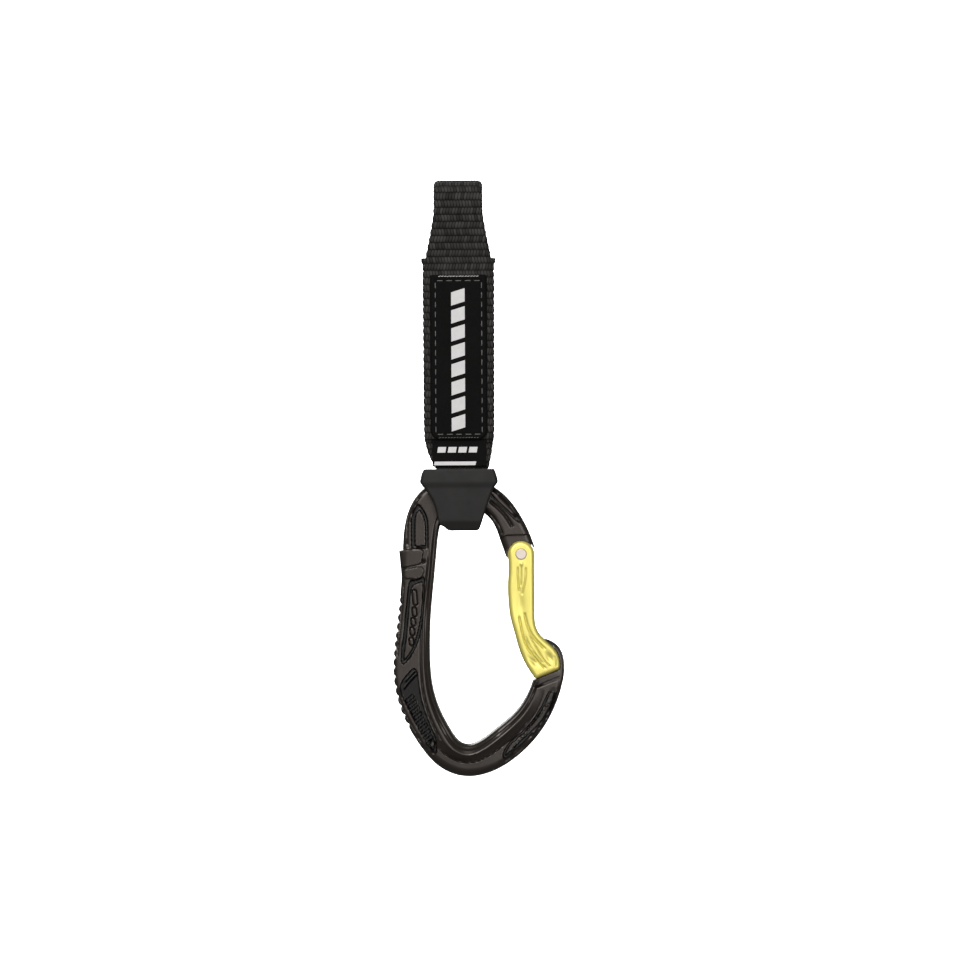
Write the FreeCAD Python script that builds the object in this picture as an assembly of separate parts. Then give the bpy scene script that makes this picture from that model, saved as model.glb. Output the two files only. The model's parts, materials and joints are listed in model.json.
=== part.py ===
"""Climbing quickdraw: one bent-gate carabiner held captive in a sewn webbing sling by a rubber keeper.

Frame: +Z up, +X across the webbing towards the gate, -Y towards the labelled front face. The origin is where the
upper carabiner bears, at the top of the inside of the sling's open eye, so the quickdraw hangs below it.
Lengths are in millimetres.
"""
import FreeCAD, Part
import math
import os

V = FreeCAD.Vector
Y_AXIS = V(0, 1, 0)

# ---- sling ------------------------------------------------------------------------------------------------
SLING_LENGTH = 117.6       # inside of the open eye to inside of the lower loop
EYE_LENGTH = 25.6          # open eye, down to the webbing's cut end
NECK_LENGTH = 26.6         # unsewn neck, from the sewn block to the lower loop's bearing
WEB_THICKNESS = 2.0
WEB_WIDE = 25.6            # variable-width webbing: wide in the sewn block
WEB_NARROW = 16.9          # and narrow in the open eye
EYE_RADIUS = 5.0           # inside of the open eye
LAYER_GAP = 0.12           # air between sewn layers
LOWER_WIDTH = 10.0         # gathered width of the lower loop
LOWER_SHIFT = 1.6          # the gathered loop sits a little towards the gate
LOOP_CLEARANCE = 1.1       # lower loop's inside face to the bar's face

# ---- labels and sewing ------------------------------------------------------------------------------------
PATCH_WIDTH = 20.2
PATCH_MARGIN = 0.9         # patch ends short of the sewn block's bottom
PATCH_DROP = 6.1           # patch starts below the webbing's cut end
PATCH_THICKNESS = 0.8
PATCH_CORNER = 2.6
STITCH_INSET = 1.9
STITCH_LENGTH = 2.2
STITCH_PITCH = 3.8
THREAD = 0.4
TACK_WIDTH = 19.0
TACK_HEIGHT = 3.2
TACK_LEGS = 14
TAG_WIDTH = 19.0
TAG_THICKNESS = 0.35
TAG_LENGTH = 10.4
TAG_FOLD_GAP = 0.25

# ---- carabiner --------------------------------------------------------------------------------------------
BODY_LENGTH = 106.8
BODY_WIDTH = 60.5
BAR_WIDTH = 11.4           # width of the forged bar at the rope basket, in the body's plane
BAR_DEPTH = 10.0           # depth of the forged bar at the rope basket, across that plane
RECESS_DEPTH = 1.1         # forged recesses below the bar's faces
NOTCH_PITCH = 3.1
NOTCH_RADIUS = 1.7
NOTCH_DEPTH = 0.55
LEDGE_RISE = 0.7           # finger ledge above the bar's faces

# ---- gate -------------------------------------------------------------------------------------------------
GATE_DEPTH = 8.6
GATE_EYE_RADIUS = 4.7
GATE_EDGE = 1.5            # rounding of the gate's rim
GATE_CORNER = 2.2          # rounding of its two corners at the nose
GATE_OPEN_DEG = 36.0
TONGUE_THICKNESS = 4.2     # hinge tongue of the body, between the gate's cheeks
CHEEK_GAP = 0.15
SHOULDER_GAP = 0.4
RIVET_RADIUS = 1.6
RIVET_HEAD_RADIUS = 1.95
RIVET_HEAD_RISE = 0.35
RUNNING = 0.05
PLUNGER_RADIUS = 1.2
PLUNGER_OFFSET = 1.6       # plunger's axis to the rivet's axis, towards the spine
PLUNGER_HEAD = 6.0
PLUNGER_SPIGOT = 2.8
CAM_REACH = 3.2            # rivet's axis to the plunger's tip, gate closed
BORE_DEPTH = 20.0          # rivet's axis to the bottom of the spring bore
SPRING_WIRE = 0.4
SPRING_TURNS = 11
NOSE_GAP = 0.35            # gate's end to the nose
NOSE_EDGE = 1.0            # rounding of the nose's rim
NOSE_KEY_TOP = 4.2         # dovetail key's thickness at its head
KEY_TAPER = 0.05           # how fast each side closes in towards the key's root

# ---- rubber keeper ----------------------------------------------------------------------------------------
KEEPER_WALL = 2.0
KEEPER_CLEARANCE = 0.3
SWING_DEG = 15.0

# ---- places that follow from the sizes above ----------------------------------------------------------------
HALF_WEB = WEB_THICKNESS / 2
LAYER = WEB_THICKNESS + LAYER_GAP
STACK = 1.5 * WEB_THICKNESS + LAYER_GAP            # half the thickness of the three sewn layers
BLOCK_TOP = -EYE_LENGTH
LOWER_Z = -SLING_LENGTH
BLOCK_BOTTOM = LOWER_Z + NECK_LENGTH
PATCH_TOP = BLOCK_TOP - PATCH_DROP
PATCH_BOTTOM = BLOCK_BOTTOM + PATCH_MARGIN
KX = BODY_WIDTH / 60.5                             # the outline below is drawn for this width
KZ = BODY_LENGTH / 106.8                           # and this length

# Bar stations: x and z from the middle of the webbing basket, then the bar's width and depth as shares of
# BAR_WIDTH and BAR_DEPTH. They run from below the hinge, over the top, down the spine and round to the nose.
STATIONS = [
    (23.0, -26.8, 0.93, 0.86), (21.7, -21.8, 0.94, 0.86), (19.4, -15.3, 0.93, 0.87), (16.4, -8.9, 0.85, 0.89),
    (11.0, -3.0, 0.86, 0.91), (4.5, -0.3, 0.95, 0.92), (-3.0, -0.3, 1.03, 0.92), (-9.6, -3.9, 1.08, 0.91),
    (-12.8, -9.9, 1.08, 0.90), (-14.1, -18.6, 1.06, 0.89), (-15.0, -31.1, 1.01, 0.88), (-16.2, -43.6, 1.02, 0.88),
    (-17.1, -56.1, 1.12, 0.89), (-16.9, -66.1, 1.17, 0.91), (-14.0, -77.4, 1.13, 0.95), (-9.0, -86.7, 1.06, 0.98),
    (-3.4, -93.0, 1.00, 1.00), (2.4, -94.9, 0.99, 1.00), (8.2, -93.7, 1.03, 1.00), (16.3, -88.6, 1.08, 0.97),
    (24.1, -81.1, 0.99, 0.92), (29.2, -72.4, 0.92, 0.89), (31.5, -64.6, 0.90, 0.87),
]
BASKET = 5                                         # the station that the webbing lies beside
BASKET_HALF = BAR_WIDTH * STATIONS[BASKET][2] / 2
BASKET_DEPTH = BAR_DEPTH * STATIONS[BASKET][3] / 2
ARCH_SAG = 3.3 * KX                                # how far the bar's inner edge drops across the gathered loop
BAR_Z = LOWER_Z + BASKET_HALF + ARCH_SAG
LOWER_HALF = BASKET_DEPTH + LOOP_CLEARANCE         # half the inside width of the lower loop
PIVOT_STATION = 1
PIVOT = V(STATIONS[PIVOT_STATION][0] * KX, 0, BAR_Z + STATIONS[PIVOT_STATION][1] * KZ)
GATE_HALF = GATE_DEPTH / 2
TONGUE_HALF = TONGUE_THICKNESS / 2
SLOT_FLOOR = CAM_REACH + 2.7
BORE_RADIUS = PLUNGER_RADIUS + 0.1


# ---- small helpers ----------------------------------------------------------------------------------------
def place(x, z):
    """A point of the carabiner's outline, drawn from the middle of the webbing basket."""
    return V(x * KX, 0, BAR_Z + z * KZ)


def by_pivot(x, z):
    """A point of the gate's outline, drawn from the rivet."""
    return V(PIVOT.x + x * KX, 0, PIVOT.z + z * KZ)


def near_pivot(x, z):
    """A point beside the rivet that keeps its distance when the carabiner is stretched."""
    return V(PIVOT.x + x, 0, PIVOT.z + z)


def spline(points, start=None, end=None):
    curve = Part.BSplineCurve()
    if start is None:
        curve.interpolate(points)
    else:
        curve.interpolate(Points=points, InitialTangent=start, FinalTangent=end)
    return curve.toShape()


def slab(edges, half):
    """The outline in the XZ plane, as a solid that reaches half either side of it."""
    face = Part.Face(Part.Wire(edges))
    face.translate(V(0, -half, 0))
    return face.extrude(V(0, 2 * half, 0))


def polygon(points):
    return Part.makePolygon(points + [points[0]]).Edges


def drum(radius, half, centre):
    """A cylinder along Y, centred on a point of the XZ plane."""
    return Part.makeCylinder(radius, 2 * half, centre - V(0, half, 0), Y_AXIS)


def cuboid(low, high):
    return Part.makeBox(high[0] - low[0], high[1] - low[1], high[2] - low[2], V(*low))


def join(shapes):
    return shapes[0].multiFuse(shapes[1:]).removeSplitter()


# ---- sling: one strip of webbing, its path drawn in the YZ plane --------------------------------------------
def strip_side(offset):
    """One face of the strip, the given distance to the left of its path. The path starts at the cut end between
    the layers, goes down the middle, round the lower loop, up the back, over the open eye and down the front."""
    low_r = LOWER_HALF + HALF_WEB
    low_z = LOWER_Z + LOWER_HALF
    neck_z = low_z + 0.55 * (BLOCK_BOTTOM - low_z) - 4.0
    eye_r = EYE_RADIUS + HALF_WEB
    eye_z = -EYE_RADIUS
    lean = math.atan2(eye_r - LAYER, eye_z - BLOCK_TOP) * 0.94
    side_y, side_z = eye_r * math.cos(lean), eye_z - eye_r * math.sin(lean)
    path = [
        (0.0, BLOCK_TOP), (0.0, BLOCK_BOTTOM), (-low_r, neck_z), (-low_r, low_z), "lower",
        (low_r, low_z), (low_r, neck_z), (LAYER, BLOCK_BOTTOM), (LAYER, BLOCK_TOP - 1.0), (side_y, side_z), "eye",
        (-side_y, side_z), (-LAYER, BLOCK_TOP - 1.0), (-LAYER, BLOCK_BOTTOM + 1.2),
    ]
    points = [p for p in path if p not in ("lower", "eye")]
    moved = []
    for i, (y, z) in enumerate(points):
        before, after = points[max(i - 1, 0)], points[min(i + 1, len(points) - 1)]
        into, out = (y - before[0], z - before[1]), (after[0] - y, after[1] - z)
        if (y, z) in ((-low_r, low_z), (side_y, side_z)):
            out = into
        if (y, z) in ((low_r, low_z), (-side_y, side_z)):
            into = out
        normals = [(-d[1] / math.hypot(*d), d[0] / math.hypot(*d)) for d in (into, out) if math.hypot(*d) > 0]
        total = (sum(n[0] for n in normals), sum(n[1] for n in normals))
        scale = offset * len(normals) / (total[0] ** 2 + total[1] ** 2)
        moved.append(V(0, y + total[0] * scale, z + total[1] * scale))
    edges, at = [], 0
    turn_of = {"lower": V(0, 0, low_z - low_r + offset), "eye": V(0, 0, eye_z + eye_r - offset)}
    for before, after in zip(path[:-1], path[1:]):
        if after in turn_of:
            edges.append(Part.Arc(moved[at], turn_of[after], moved[at + 1]).toShape())
            at += 1
        elif before not in turn_of:
            edges.append(Part.LineSegment(moved[at], moved[at + 1]).toShape())
            at += 1
    return edges, moved


def web_edge(side, grow=0.0):
    """Half the webbing's outline in the XZ plane, from above the open eye to below the lower loop."""
    wide, narrow, low = WEB_WIDE / 2 + grow, WEB_NARROW / 2 + grow, LOWER_WIDTH / 2 + grow
    waist_z = BLOCK_BOTTOM - 9.0
    gather_z = BAR_Z + 1.5
    top = V(side * narrow, 0, WEB_THICKNESS + 5)
    shoulder = V(side * narrow, 0, -0.38 * EYE_LENGTH)
    full = V(side * wide, 0, BLOCK_TOP - 4.5)
    foot = V(side * (wide - 0.1), 0, BLOCK_BOTTOM + 2.5)
    waist = V(side * (0.765 * wide + 0.1), 0, waist_z)
    gathered = V(side * low + LOWER_SHIFT, 0, gather_z)
    bottom = V(gathered.x, 0, LOWER_Z - WEB_THICKNESS - 5)
    down = V(0, 0, -1)
    return [
        Part.LineSegment(top, shoulder).toShape(),
        spline([shoulder, V(side * (0.62 * narrow + 0.38 * wide), 0, -0.7 * EYE_LENGTH), full], down * 8, down * 8),
        Part.LineSegment(full, foot).toShape(),
        spline([foot, waist, gathered], down * 6, down * 6),
        Part.LineSegment(gathered, bottom).toShape(),
    ]


def web_outline(grow=0.0):
    left, right = web_edge(-1, grow), web_edge(1, grow)
    top = Part.LineSegment(left[0].Vertexes[0].Point, right[0].Vertexes[0].Point).toShape()
    bottom = Part.LineSegment(left[-1].Vertexes[-1].Point, right[-1].Vertexes[-1].Point).toShape()
    return Part.__sortEdges__(left + right + [top, bottom])


def sling_webbing():
    one, ends_one = strip_side(HALF_WEB)
    two, ends_two = strip_side(-HALF_WEB)
    caps = [Part.LineSegment(ends_one[i], ends_two[i]).toShape() for i in (0, -1)]
    face = Part.Face(Part.Wire(Part.__sortEdges__(one + two + caps)))
    reach = WEB_WIDE
    face.translate(V(-reach, 0, 0))
    strip = face.extrude(V(2 * reach, 0, 0))
    strip = strip.common(slab(web_outline(), 30))
    cut_end = cuboid((-WEB_WIDE / 2, -HALF_WEB, BLOCK_TOP - 6), (WEB_WIDE / 2, HALF_WEB, BLOCK_TOP))
    return strip.fuse(cut_end).removeSplitter()


# ---- labels and sewing --------------------------------------------------------------------------------------
def label_patch():
    """Woven panel, sewn over the front of the block."""
    half = PATCH_WIDTH / 2
    low = (-half, -STACK - PATCH_THICKNESS, PATCH_BOTTOM)
    panel = cuboid(low, (half, -STACK, PATCH_TOP))
    corners = [e for e in panel.Edges if abs(abs(e.tangentAt(0).y) - 1) < 1e-6]
    return panel.makeFillet(PATCH_CORNER, corners)


def stitch(centre, along, length, face_y, out):
    """One visible stitch: a flat-bottomed bar of thread that lies on a face at face_y and rises towards out."""
    half = V(along[0], 0, along[1]).normalize() * (length / 2)
    side = V(half.z, 0, -half.x).normalize() * (THREAD / 2)
    base = [centre + half + side, centre + half - side, centre - half - side, centre - half + side]
    face = Part.Face(Part.makePolygon([p + V(0, face_y, 0) for p in base + base[:1]]))
    return face.extrude(V(0, out * THREAD * 0.6, 0))


def row_of(start, end):
    """Centres and direction of the stitches from start to end, at about STITCH_PITCH."""
    run = end - start
    count = max(2, round(run.Length / STITCH_PITCH))
    return [start + run * ((i + 0.5) / count) for i in range(count)], (run.x, run.z)


def label_stitching():
    half, top, bottom = PATCH_WIDTH / 2 - STITCH_INSET, PATCH_TOP - STITCH_INSET, PATCH_BOTTOM + STITCH_INSET
    corners = [V(-half, 0, top), V(half, 0, top), V(half, 0, bottom), V(-half, 0, bottom)]
    made = []
    for start, end in zip(corners, corners[1:] + corners[:1]):
        centres, along = row_of(start, end)
        made += [stitch(c, along, STITCH_LENGTH, -STACK - PATCH_THICKNESS, -1) for c in centres]
    return Part.makeCompound(made)


def bar_tack(centre_z):
    """One structural bar tack, a zigzag of thread across the back of the block."""
    made = []
    step = TACK_WIDTH / TACK_LEGS
    for i in range(TACK_LEGS):
        centre = V((i + 0.5) * step - TACK_WIDTH / 2, 0, centre_z)
        lean = step * 0.35 if i % 2 else -step * 0.35
        made.append(stitch(centre, (lean, TACK_HEIGHT), TACK_HEIGHT, STACK, 1))
    return Part.makeCompound(made)


def care_tag():
    """Folded tape that hangs flat against the front of the neck, its top sewn in under the block."""
    outer = strip_side(-HALF_WEB)[1]
    down = (outer[2] - outer[1]).normalize()
    normal = V(0, down.z, -down.y)
    first = outer[1] + down * 0.05
    length = min(TAG_LENGTH, (first.z - keeper_top() - 0.4) / -down.z)
    foot = first + down * length
    full, fold = 2 * TAG_THICKNESS + TAG_FOLD_GAP, TAG_THICKNESS
    outline = [first, foot, foot + normal * full, first + normal * full]
    slit_foot = foot - down * fold
    slit = [first - down + normal * fold, slit_foot + normal * fold]
    slit += [p + normal * TAG_FOLD_GAP for p in reversed(slit)]
    face = Part.Face(Part.makePolygon(outline + outline[:1])).cut(Part.Face(Part.makePolygon(slit + slit[:1])))
    face.translate(V(-TAG_WIDTH / 2, 0, 0))
    return face.extrude(V(TAG_WIDTH, 0, 0))


# ---- carabiner body ---------------------------------------------------------------------------------------
def bar_line():
    curve = Part.BSplineCurve()
    curve.interpolate([place(s[0], s[1]) for s in STATIONS])
    return curve


LINE = bar_line()
STATION_AT = [LINE.parameter(place(s[0], s[1])) for s in STATIONS]


def along_bar(t):
    """Centre, outward normal, half width and half depth of the bar at station t, which may be a fraction."""
    i = min(int(t), len(STATIONS) - 2)
    f = t - i
    u = STATION_AT[i] * (1 - f) + STATION_AT[i + 1] * f
    tangent = LINE.tangent(u)[0]
    out = V(tangent.z, 0, -tangent.x)
    width = STATIONS[i][2] * (1 - f) + STATIONS[i + 1][2] * f
    depth = STATIONS[i][3] * (1 - f) + STATIONS[i + 1][3] * f
    return LINE.value(u), out, BAR_WIDTH * width / 2, BAR_DEPTH * depth / 2


def bar_section(t):
    """The forged bar's section, a box with well rounded corners."""
    centre, out, a, b = along_bar(t)
    r = 0.76 * b
    k = math.sqrt(0.5) * r
    edges = []
    corners = [(1, 1), (-1, 1), (-1, -1), (1, -1)]

    def at(p, q):
        return centre + out * p + Y_AXIS * q

    for (sa, sb), (na, nb) in zip(corners, corners[1:] + corners[:1]):
        ends = [at(sa * a, sb * (b - r)), at(sa * (a - r), sb * b)]
        if (sa, sb) in ((-1, 1), (1, -1)):
            ends.reverse()
        middle = at(sa * (a - r + k), sb * (b - r + k))
        edges.append(Part.Arc(ends[0], middle, ends[1]).toShape())
        nxt = at(na * (a - r), nb * b) if sb == nb else at(na * a, nb * (b - r))
        edges.append(Part.LineSegment(ends[1], nxt).toShape())
    return Part.Wire(edges)


def bar(first=0, last=None):
    last = len(STATIONS) - 1 if last is None else last
    return Part.makeLoft([bar_section(t) for t in range(first, last + 1)], True, False)


def on_bar(t, o, grow=0.0):
    """A point of the XZ plane beside the bar: o is -1 on its inner edge and 1 on its outer edge."""
    centre, out, a, _ = along_bar(t)
    return centre + out * (o * (a + grow))


def bar_patch(corners, grow=0.0, steps=6):
    """Edges of a closed outline on the bar, its corners given as (station, offset)."""
    edges = []
    for (t0, o0), (t1, o1) in zip(corners, corners[1:] + corners[:1]):
        shares = [i / steps for i in range(steps + 1)]
        points = [on_bar(t0 + (t1 - t0) * s, o0 + (o1 - o0) * s, grow) for s in shares]
        edges.append(spline(points))
    return edges


def recess(corners, depth=None, island=None, island_depth=0.0):
    """A forged recess in both faces of the bar, with an island standing in it where one is given."""
    depth = RECESS_DEPTH if depth is None else depth
    level = min(along_bar(t)[3] for t, _ in corners)
    tool = slab(bar_patch(corners), 20)
    if island:
        tool = tool.cut(slab(bar_patch(island), level - island_depth))
    floor = level - depth
    return tool.cut(cuboid((-BODY_WIDTH, -floor, BAR_Z - BODY_LENGTH), (BODY_WIDTH, floor, BAR_Z + BODY_WIDTH)))


RECESSES = [
    dict(corners=[(7.6, 0.35), (8.3, -0.32), (9.15, -0.42), (9.15, 0.38), (8.4, 0.5)],
         island=[(7.9, 0.25), (8.4, -0.12), (9.05, -0.2), (9.05, 0.2), (8.5, 0.28)], island_depth=0.45),
    dict(corners=[(10.15, -0.3), (11.3, -0.35), (12.1, 0.2), (12.25, 0.62), (11.3, 0.55), (10.15, 0.5)],
         island=[(10.35, -0.1), (11.3, -0.12), (11.8, 0.25), (11.3, 0.35), (10.35, 0.3)], island_depth=0.6),
    dict(corners=[(12.6, -0.05), (13.6, -0.12), (14.6, -0.2), (15.3, 0.05), (15.3, 0.5), (14.2, 0.62), (13.2, 0.6)]),
    dict(corners=[(18.7, 0.05), (20.0, -0.05), (21.2, 0.1), (21.2, 0.55), (20.0, 0.62), (18.7, 0.6)]),
    dict(corners=[(2.4, 0.3), (3.4, 0.15), (4.3, 0.1), (4.3, 0.6), (3.4, 0.65), (2.4, 0.6)]),
]


def notches():
    """Grip scallops down the outside of the spine."""
    made = []
    t, last = 10.45, 14.4
    while t < last:
        centre, out, a, _ = along_bar(t)
        middle = centre + out * (a + NOTCH_RADIUS - NOTCH_DEPTH)
        made.append(drum(NOTCH_RADIUS, BAR_DEPTH, middle))
        i = int(t)
        t += NOTCH_PITCH / place(*STATIONS[i][:2]).distanceToPoint(place(*STATIONS[i + 1][:2]))
    return made


def finger_ledge():
    """Raised saddle across the outer part of the spine: a lip above, tapering down to the spine below."""
    half = along_bar(9.5)[3] + LEDGE_RISE
    saddle = slab(bar_patch([(9.2, -0.35), (9.2, 1.12), (9.35, 1.17), (9.95, 1.0), (9.9, -0.2)]), half)
    rim = [e for e in saddle.Edges if abs(abs(e.CenterOfMass.y) - half) < 1e-6]
    return saddle.makeFillet(0.5, rim)


def tongue():
    """Thin hinge tongue. Its lower inside edge is an involute cam, so the plunger moves in step with the gate."""
    def cam(phi):
        reach = CAM_REACH + PLUNGER_OFFSET * phi
        x = -PLUNGER_OFFSET * math.cos(phi) - reach * math.sin(phi)
        z = PLUNGER_OFFSET * math.sin(phi) - reach * math.cos(phi)
        return near_pivot(x, z)

    start, end, steps = 1.05, -0.45, 10
    edge = [cam(start + (end - start) * i / steps) for i in range(steps + 1)]
    r = CAM_REACH + 0.4
    heel = near_pivot(r * math.sin(math.radians(10)), -r * math.cos(math.radians(10)))
    side = near_pivot(r, 0)
    far_left, far_top = near_pivot(-14, edge[0].z - PIVOT.z), near_pivot(-14, 14)
    top_right = near_pivot(r, 14)
    edges = [
        Part.LineSegment(far_left, edge[0]).toShape(), spline(edge), Part.LineSegment(edge[-1], heel).toShape(),
        Part.Arc(heel, near_pivot(r * math.sqrt(0.5), -r * math.sqrt(0.5)), side).toShape(),
        Part.LineSegment(side, top_right).toShape(), Part.LineSegment(top_right, far_top).toShape(),
        Part.LineSegment(far_top, far_left).toShape(),
    ]
    return slab(edges, TONGUE_HALF)


def turned(shape, degrees):
    """The shape turned about the rivet, as the gate turns when it opens."""
    copy = shape.copy()
    copy.rotate(PIVOT, Y_AXIS, degrees)
    return copy


def hinge_void():
    """The room that the gate's round end and sides need at the shoulder, from closed to open."""
    grown = GATE_EYE_RADIUS + SHOULDER_GAP
    sides = cuboid((PIVOT.x - grown, -20, PIVOT.z - 22), (PIVOT.x + grown, 20, PIVOT.z))
    return join([drum(grown, 20, PIVOT), sides, turned(sides, GATE_OPEN_DEG / 2), turned(sides, GATE_OPEN_DEG)])


def key_sector(start_deg, end_deg, low, high, gap):
    """The nose's dovetail key, turned about the rivet so that the gate can slide off it."""
    half_low = NOSE_KEY_TOP / 2 + gap
    half_high = half_low - KEY_TAPER * (high - low)
    points = [V(0, -half_low, -low), V(0, half_low, -low), V(0, half_high, -high), V(0, -half_high, -high)]
    face = Part.Face(Part.makePolygon([p + PIVOT for p in points + points[:1]]))
    face.rotate(PIVOT, Y_AXIS, -start_deg)
    return face.revolve(PIVOT, Y_AXIS, -(end_deg - start_deg))


def key_head():
    """Distance from the rivet to the head of the nose's key."""
    return by_pivot(9.3, -34.3).distanceToPoint(PIVOT)


def nose():
    """Hooked end of the body: a rim outside the gate's end, and the key that the gate's fork closes over."""
    rise = [
        place(34.6, -72.0), place(36.45, -65.0), place(36.75, -60.5), place(35.7, -56.0), place(34.0, -54.1),
        place(32.0, -53.4),
    ]
    tip, root, foot = place(30.7, -52.8), place(28.5, -56.0), place(27.2, -70.0)
    edges = [spline(rise + [tip])]
    for a, b in ((tip, root), (root, foot), (foot, rise[0])):
        edges.append(Part.LineSegment(a, b).toShape())
    half = BAR_DEPTH * STATIONS[-1][3] / 2 - 0.3
    block = slab(edges, half)
    rim = [e for e in block.Edges if abs(abs(e.CenterOfMass.y) - half) < 1e-6 and e.Length > 15]
    return block.makeFillet(NOSE_EDGE, rim)


def carabiner_body():
    head = key_head()
    key = key_sector(9.2, 21.5, head, head + 13 * KZ, 0)
    whole = bar().fuse(nose()).fuse(finger_ledge())
    whole = whole.cut(hinge_void().cut(tongue())).cut(gate_envelope().cut(key))
    whole = whole.cut(drum(RIVET_RADIUS + 0.02, 20, PIVOT))
    for void in notches() + [recess(**r) for r in RECESSES]:
        whole = whole.cut(void)
    return whole.removeSplitter()


# ---- gate, rivet, plunger and spring ------------------------------------------------------------------------
def moved_out(points, distance):
    """The points of an open line, each moved to the right of the line's direction."""
    moved = []
    for i, point in enumerate(points):
        run = points[min(i + 1, len(points) - 1)] - points[max(i - 1, 0)]
        moved.append(point + V(-run.z, 0, run.x).normalize() * distance)
    return moved


def gate_outline(grow=0.0, overrun=0.0):
    """Edges of the bent gate seen from the front, from its round hinge end to its forked nose end. The outline can
    be grown, and its bottom edge can run on past the tip."""
    r = GATE_EYE_RADIUS + grow
    left, right, top = near_pivot(-r, 0), near_pivot(r, 0), near_pivot(0, r)
    outer = moved_out([
        near_pivot(GATE_EYE_RADIUS, 0), by_pivot(4.6, -11.0), by_pivot(4.6, -20.5), by_pivot(5.1, -25.2),
        by_pivot(6.6, -28.7), by_pivot(9.4, -31.3), by_pivot(12.0, -33.6), by_pivot(13.6, -37.3),
        by_pivot(13.9, -40.5 - grow),
    ], grow)
    tip = by_pivot(5.2, -44.3 - 1.3 * grow)
    tip += (tip - outer[-1]).normalize() * overrun
    inner = moved_out([
        by_pivot(5.2, -44.3), by_pivot(2.3, -39.6), by_pivot(-0.1, -34.7), by_pivot(-2.0, -29.2),
        by_pivot(-3.5, -22.8), by_pivot(-4.35, -16.0), by_pivot(-4.3, -8.0), near_pivot(-GATE_EYE_RADIUS, 0),
    ], grow)
    outer[0], inner[0], inner[-1] = right, tip, left
    down, up = V(0, 0, -1), V(0, 0, 1)
    return [
        Part.Arc(left, top, right).toShape(),
        spline(outer, down * 8, down * 4),
        Part.LineSegment(outer[-1], tip).toShape(),
        spline(inner, V(-0.55, 0, 1) * 4, up * 8),
    ]


def round_corners(block, beyond):
    """Rounds the block's lower corners that lie further out than the given x."""
    corners = [e for e in block.Edges if abs(e.CenterOfMass.y) < 1e-6 and e.CenterOfMass.z < PIVOT.z - 20]
    return block.makeFillet(GATE_CORNER, [e for e in corners if e.CenterOfMass.x > beyond])


def gate_envelope():
    """The gate grown by its gap to the nose, as a void in the body that is open towards the rope."""
    below_hinge = cuboid((-200, -30, -400), (200, 30, PIVOT.z - 12))
    return round_corners(slab(gate_outline(NOSE_GAP, 4.0), 30), by_pivot(8, 0).x).common(below_hinge)


def gate():
    blank = round_corners(slab(gate_outline(), GATE_HALF), PIVOT.x)
    rim = [e for e in blank.Edges if abs(abs(e.CenterOfMass.y) - GATE_HALF) < 1e-6]
    blank = blank.makeFillet(GATE_EDGE, rim)
    slot = TONGUE_HALF + CHEEK_GAP
    fork = cuboid((PIVOT.x - 14, -slot, PIVOT.z - SLOT_FLOOR), (PIVOT.x + 14, slot, PIVOT.z + 14))
    bore_at = PIVOT + V(-PLUNGER_OFFSET, 0, -BORE_DEPTH)
    bore = Part.makeCylinder(BORE_RADIUS, BORE_DEPTH, bore_at)
    head = key_head()
    key = key_sector(8.5, 40.0, head - 0.3, head + 20 * KZ, 0.18)
    sinks = [
        Part.makeCylinder(RIVET_HEAD_RADIUS + 0.1, 5, PIVOT + V(0, s * (GATE_HALF - 0.3), 0), V(0, s, 0))
        for s in (-1, 1)
    ]
    for void in [fork, bore, key, drum(RIVET_RADIUS + RUNNING, 20, PIVOT)] + sinks:
        blank = blank.cut(void)
    return blank.removeSplitter()


def gate_rivet():
    shaft = drum(RIVET_RADIUS, GATE_HALF - 0.25, PIVOT)
    heads = []
    for s in (-1, 1):
        start = PIVOT + V(0, s * (GATE_HALF - 0.25), 0)
        head = Part.makeCylinder(RIVET_HEAD_RADIUS, 0.25 + RIVET_HEAD_RISE, start, V(0, s, 0))
        crown = [e for e in head.Edges if abs(abs(e.CenterOfMass.y) - GATE_HALF - RIVET_HEAD_RISE) < 1e-6]
        heads.append(head.makeFillet(0.3, crown))
    return join([shaft] + heads)


def plunger_top():
    return PIVOT + V(-PLUNGER_OFFSET, 0, -CAM_REACH - RUNNING)


def gate_plunger():
    """Headed pin: a flat tip on the tongue's cam, and a spigot that centres the spring."""
    top = plunger_top()
    head = Part.makeCylinder(PLUNGER_RADIUS, PLUNGER_HEAD, top - V(0, 0, PLUNGER_HEAD))
    spigot_radius = PLUNGER_RADIUS - SPRING_WIRE - 0.15
    spigot = Part.makeCylinder(spigot_radius, PLUNGER_SPIGOT, top - V(0, 0, PLUNGER_HEAD + PLUNGER_SPIGOT))
    return join([head, spigot])


def gate_spring():
    top = plunger_top().z - PLUNGER_HEAD - SPRING_WIRE / 2 - 0.02
    low = PIVOT.z - BORE_DEPTH + SPRING_WIRE / 2 + 0.02
    radius = PLUNGER_RADIUS - SPRING_WIRE / 2
    helix = Part.makeHelix((top - low) / SPRING_TURNS, top - low, radius)
    path = Part.Wire(helix)
    start = path.Vertexes[0].Point
    ring = Part.Wire(Part.makeCircle(SPRING_WIRE / 2, start, Y_AXIS))
    coil = path.makePipeShell([ring], True, True)
    coil.translate(V(PIVOT.x - PLUNGER_OFFSET, 0, low))
    return coil


# ---- rubber keeper ----------------------------------------------------------------------------------------
def keeper_top():
    return BAR_Z + BASKET_HALF + 3.0


def keeper_bottom():
    return LOWER_Z - WEB_THICKNESS - KEEPER_CLEARANCE - KEEPER_WALL - 0.4


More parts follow.
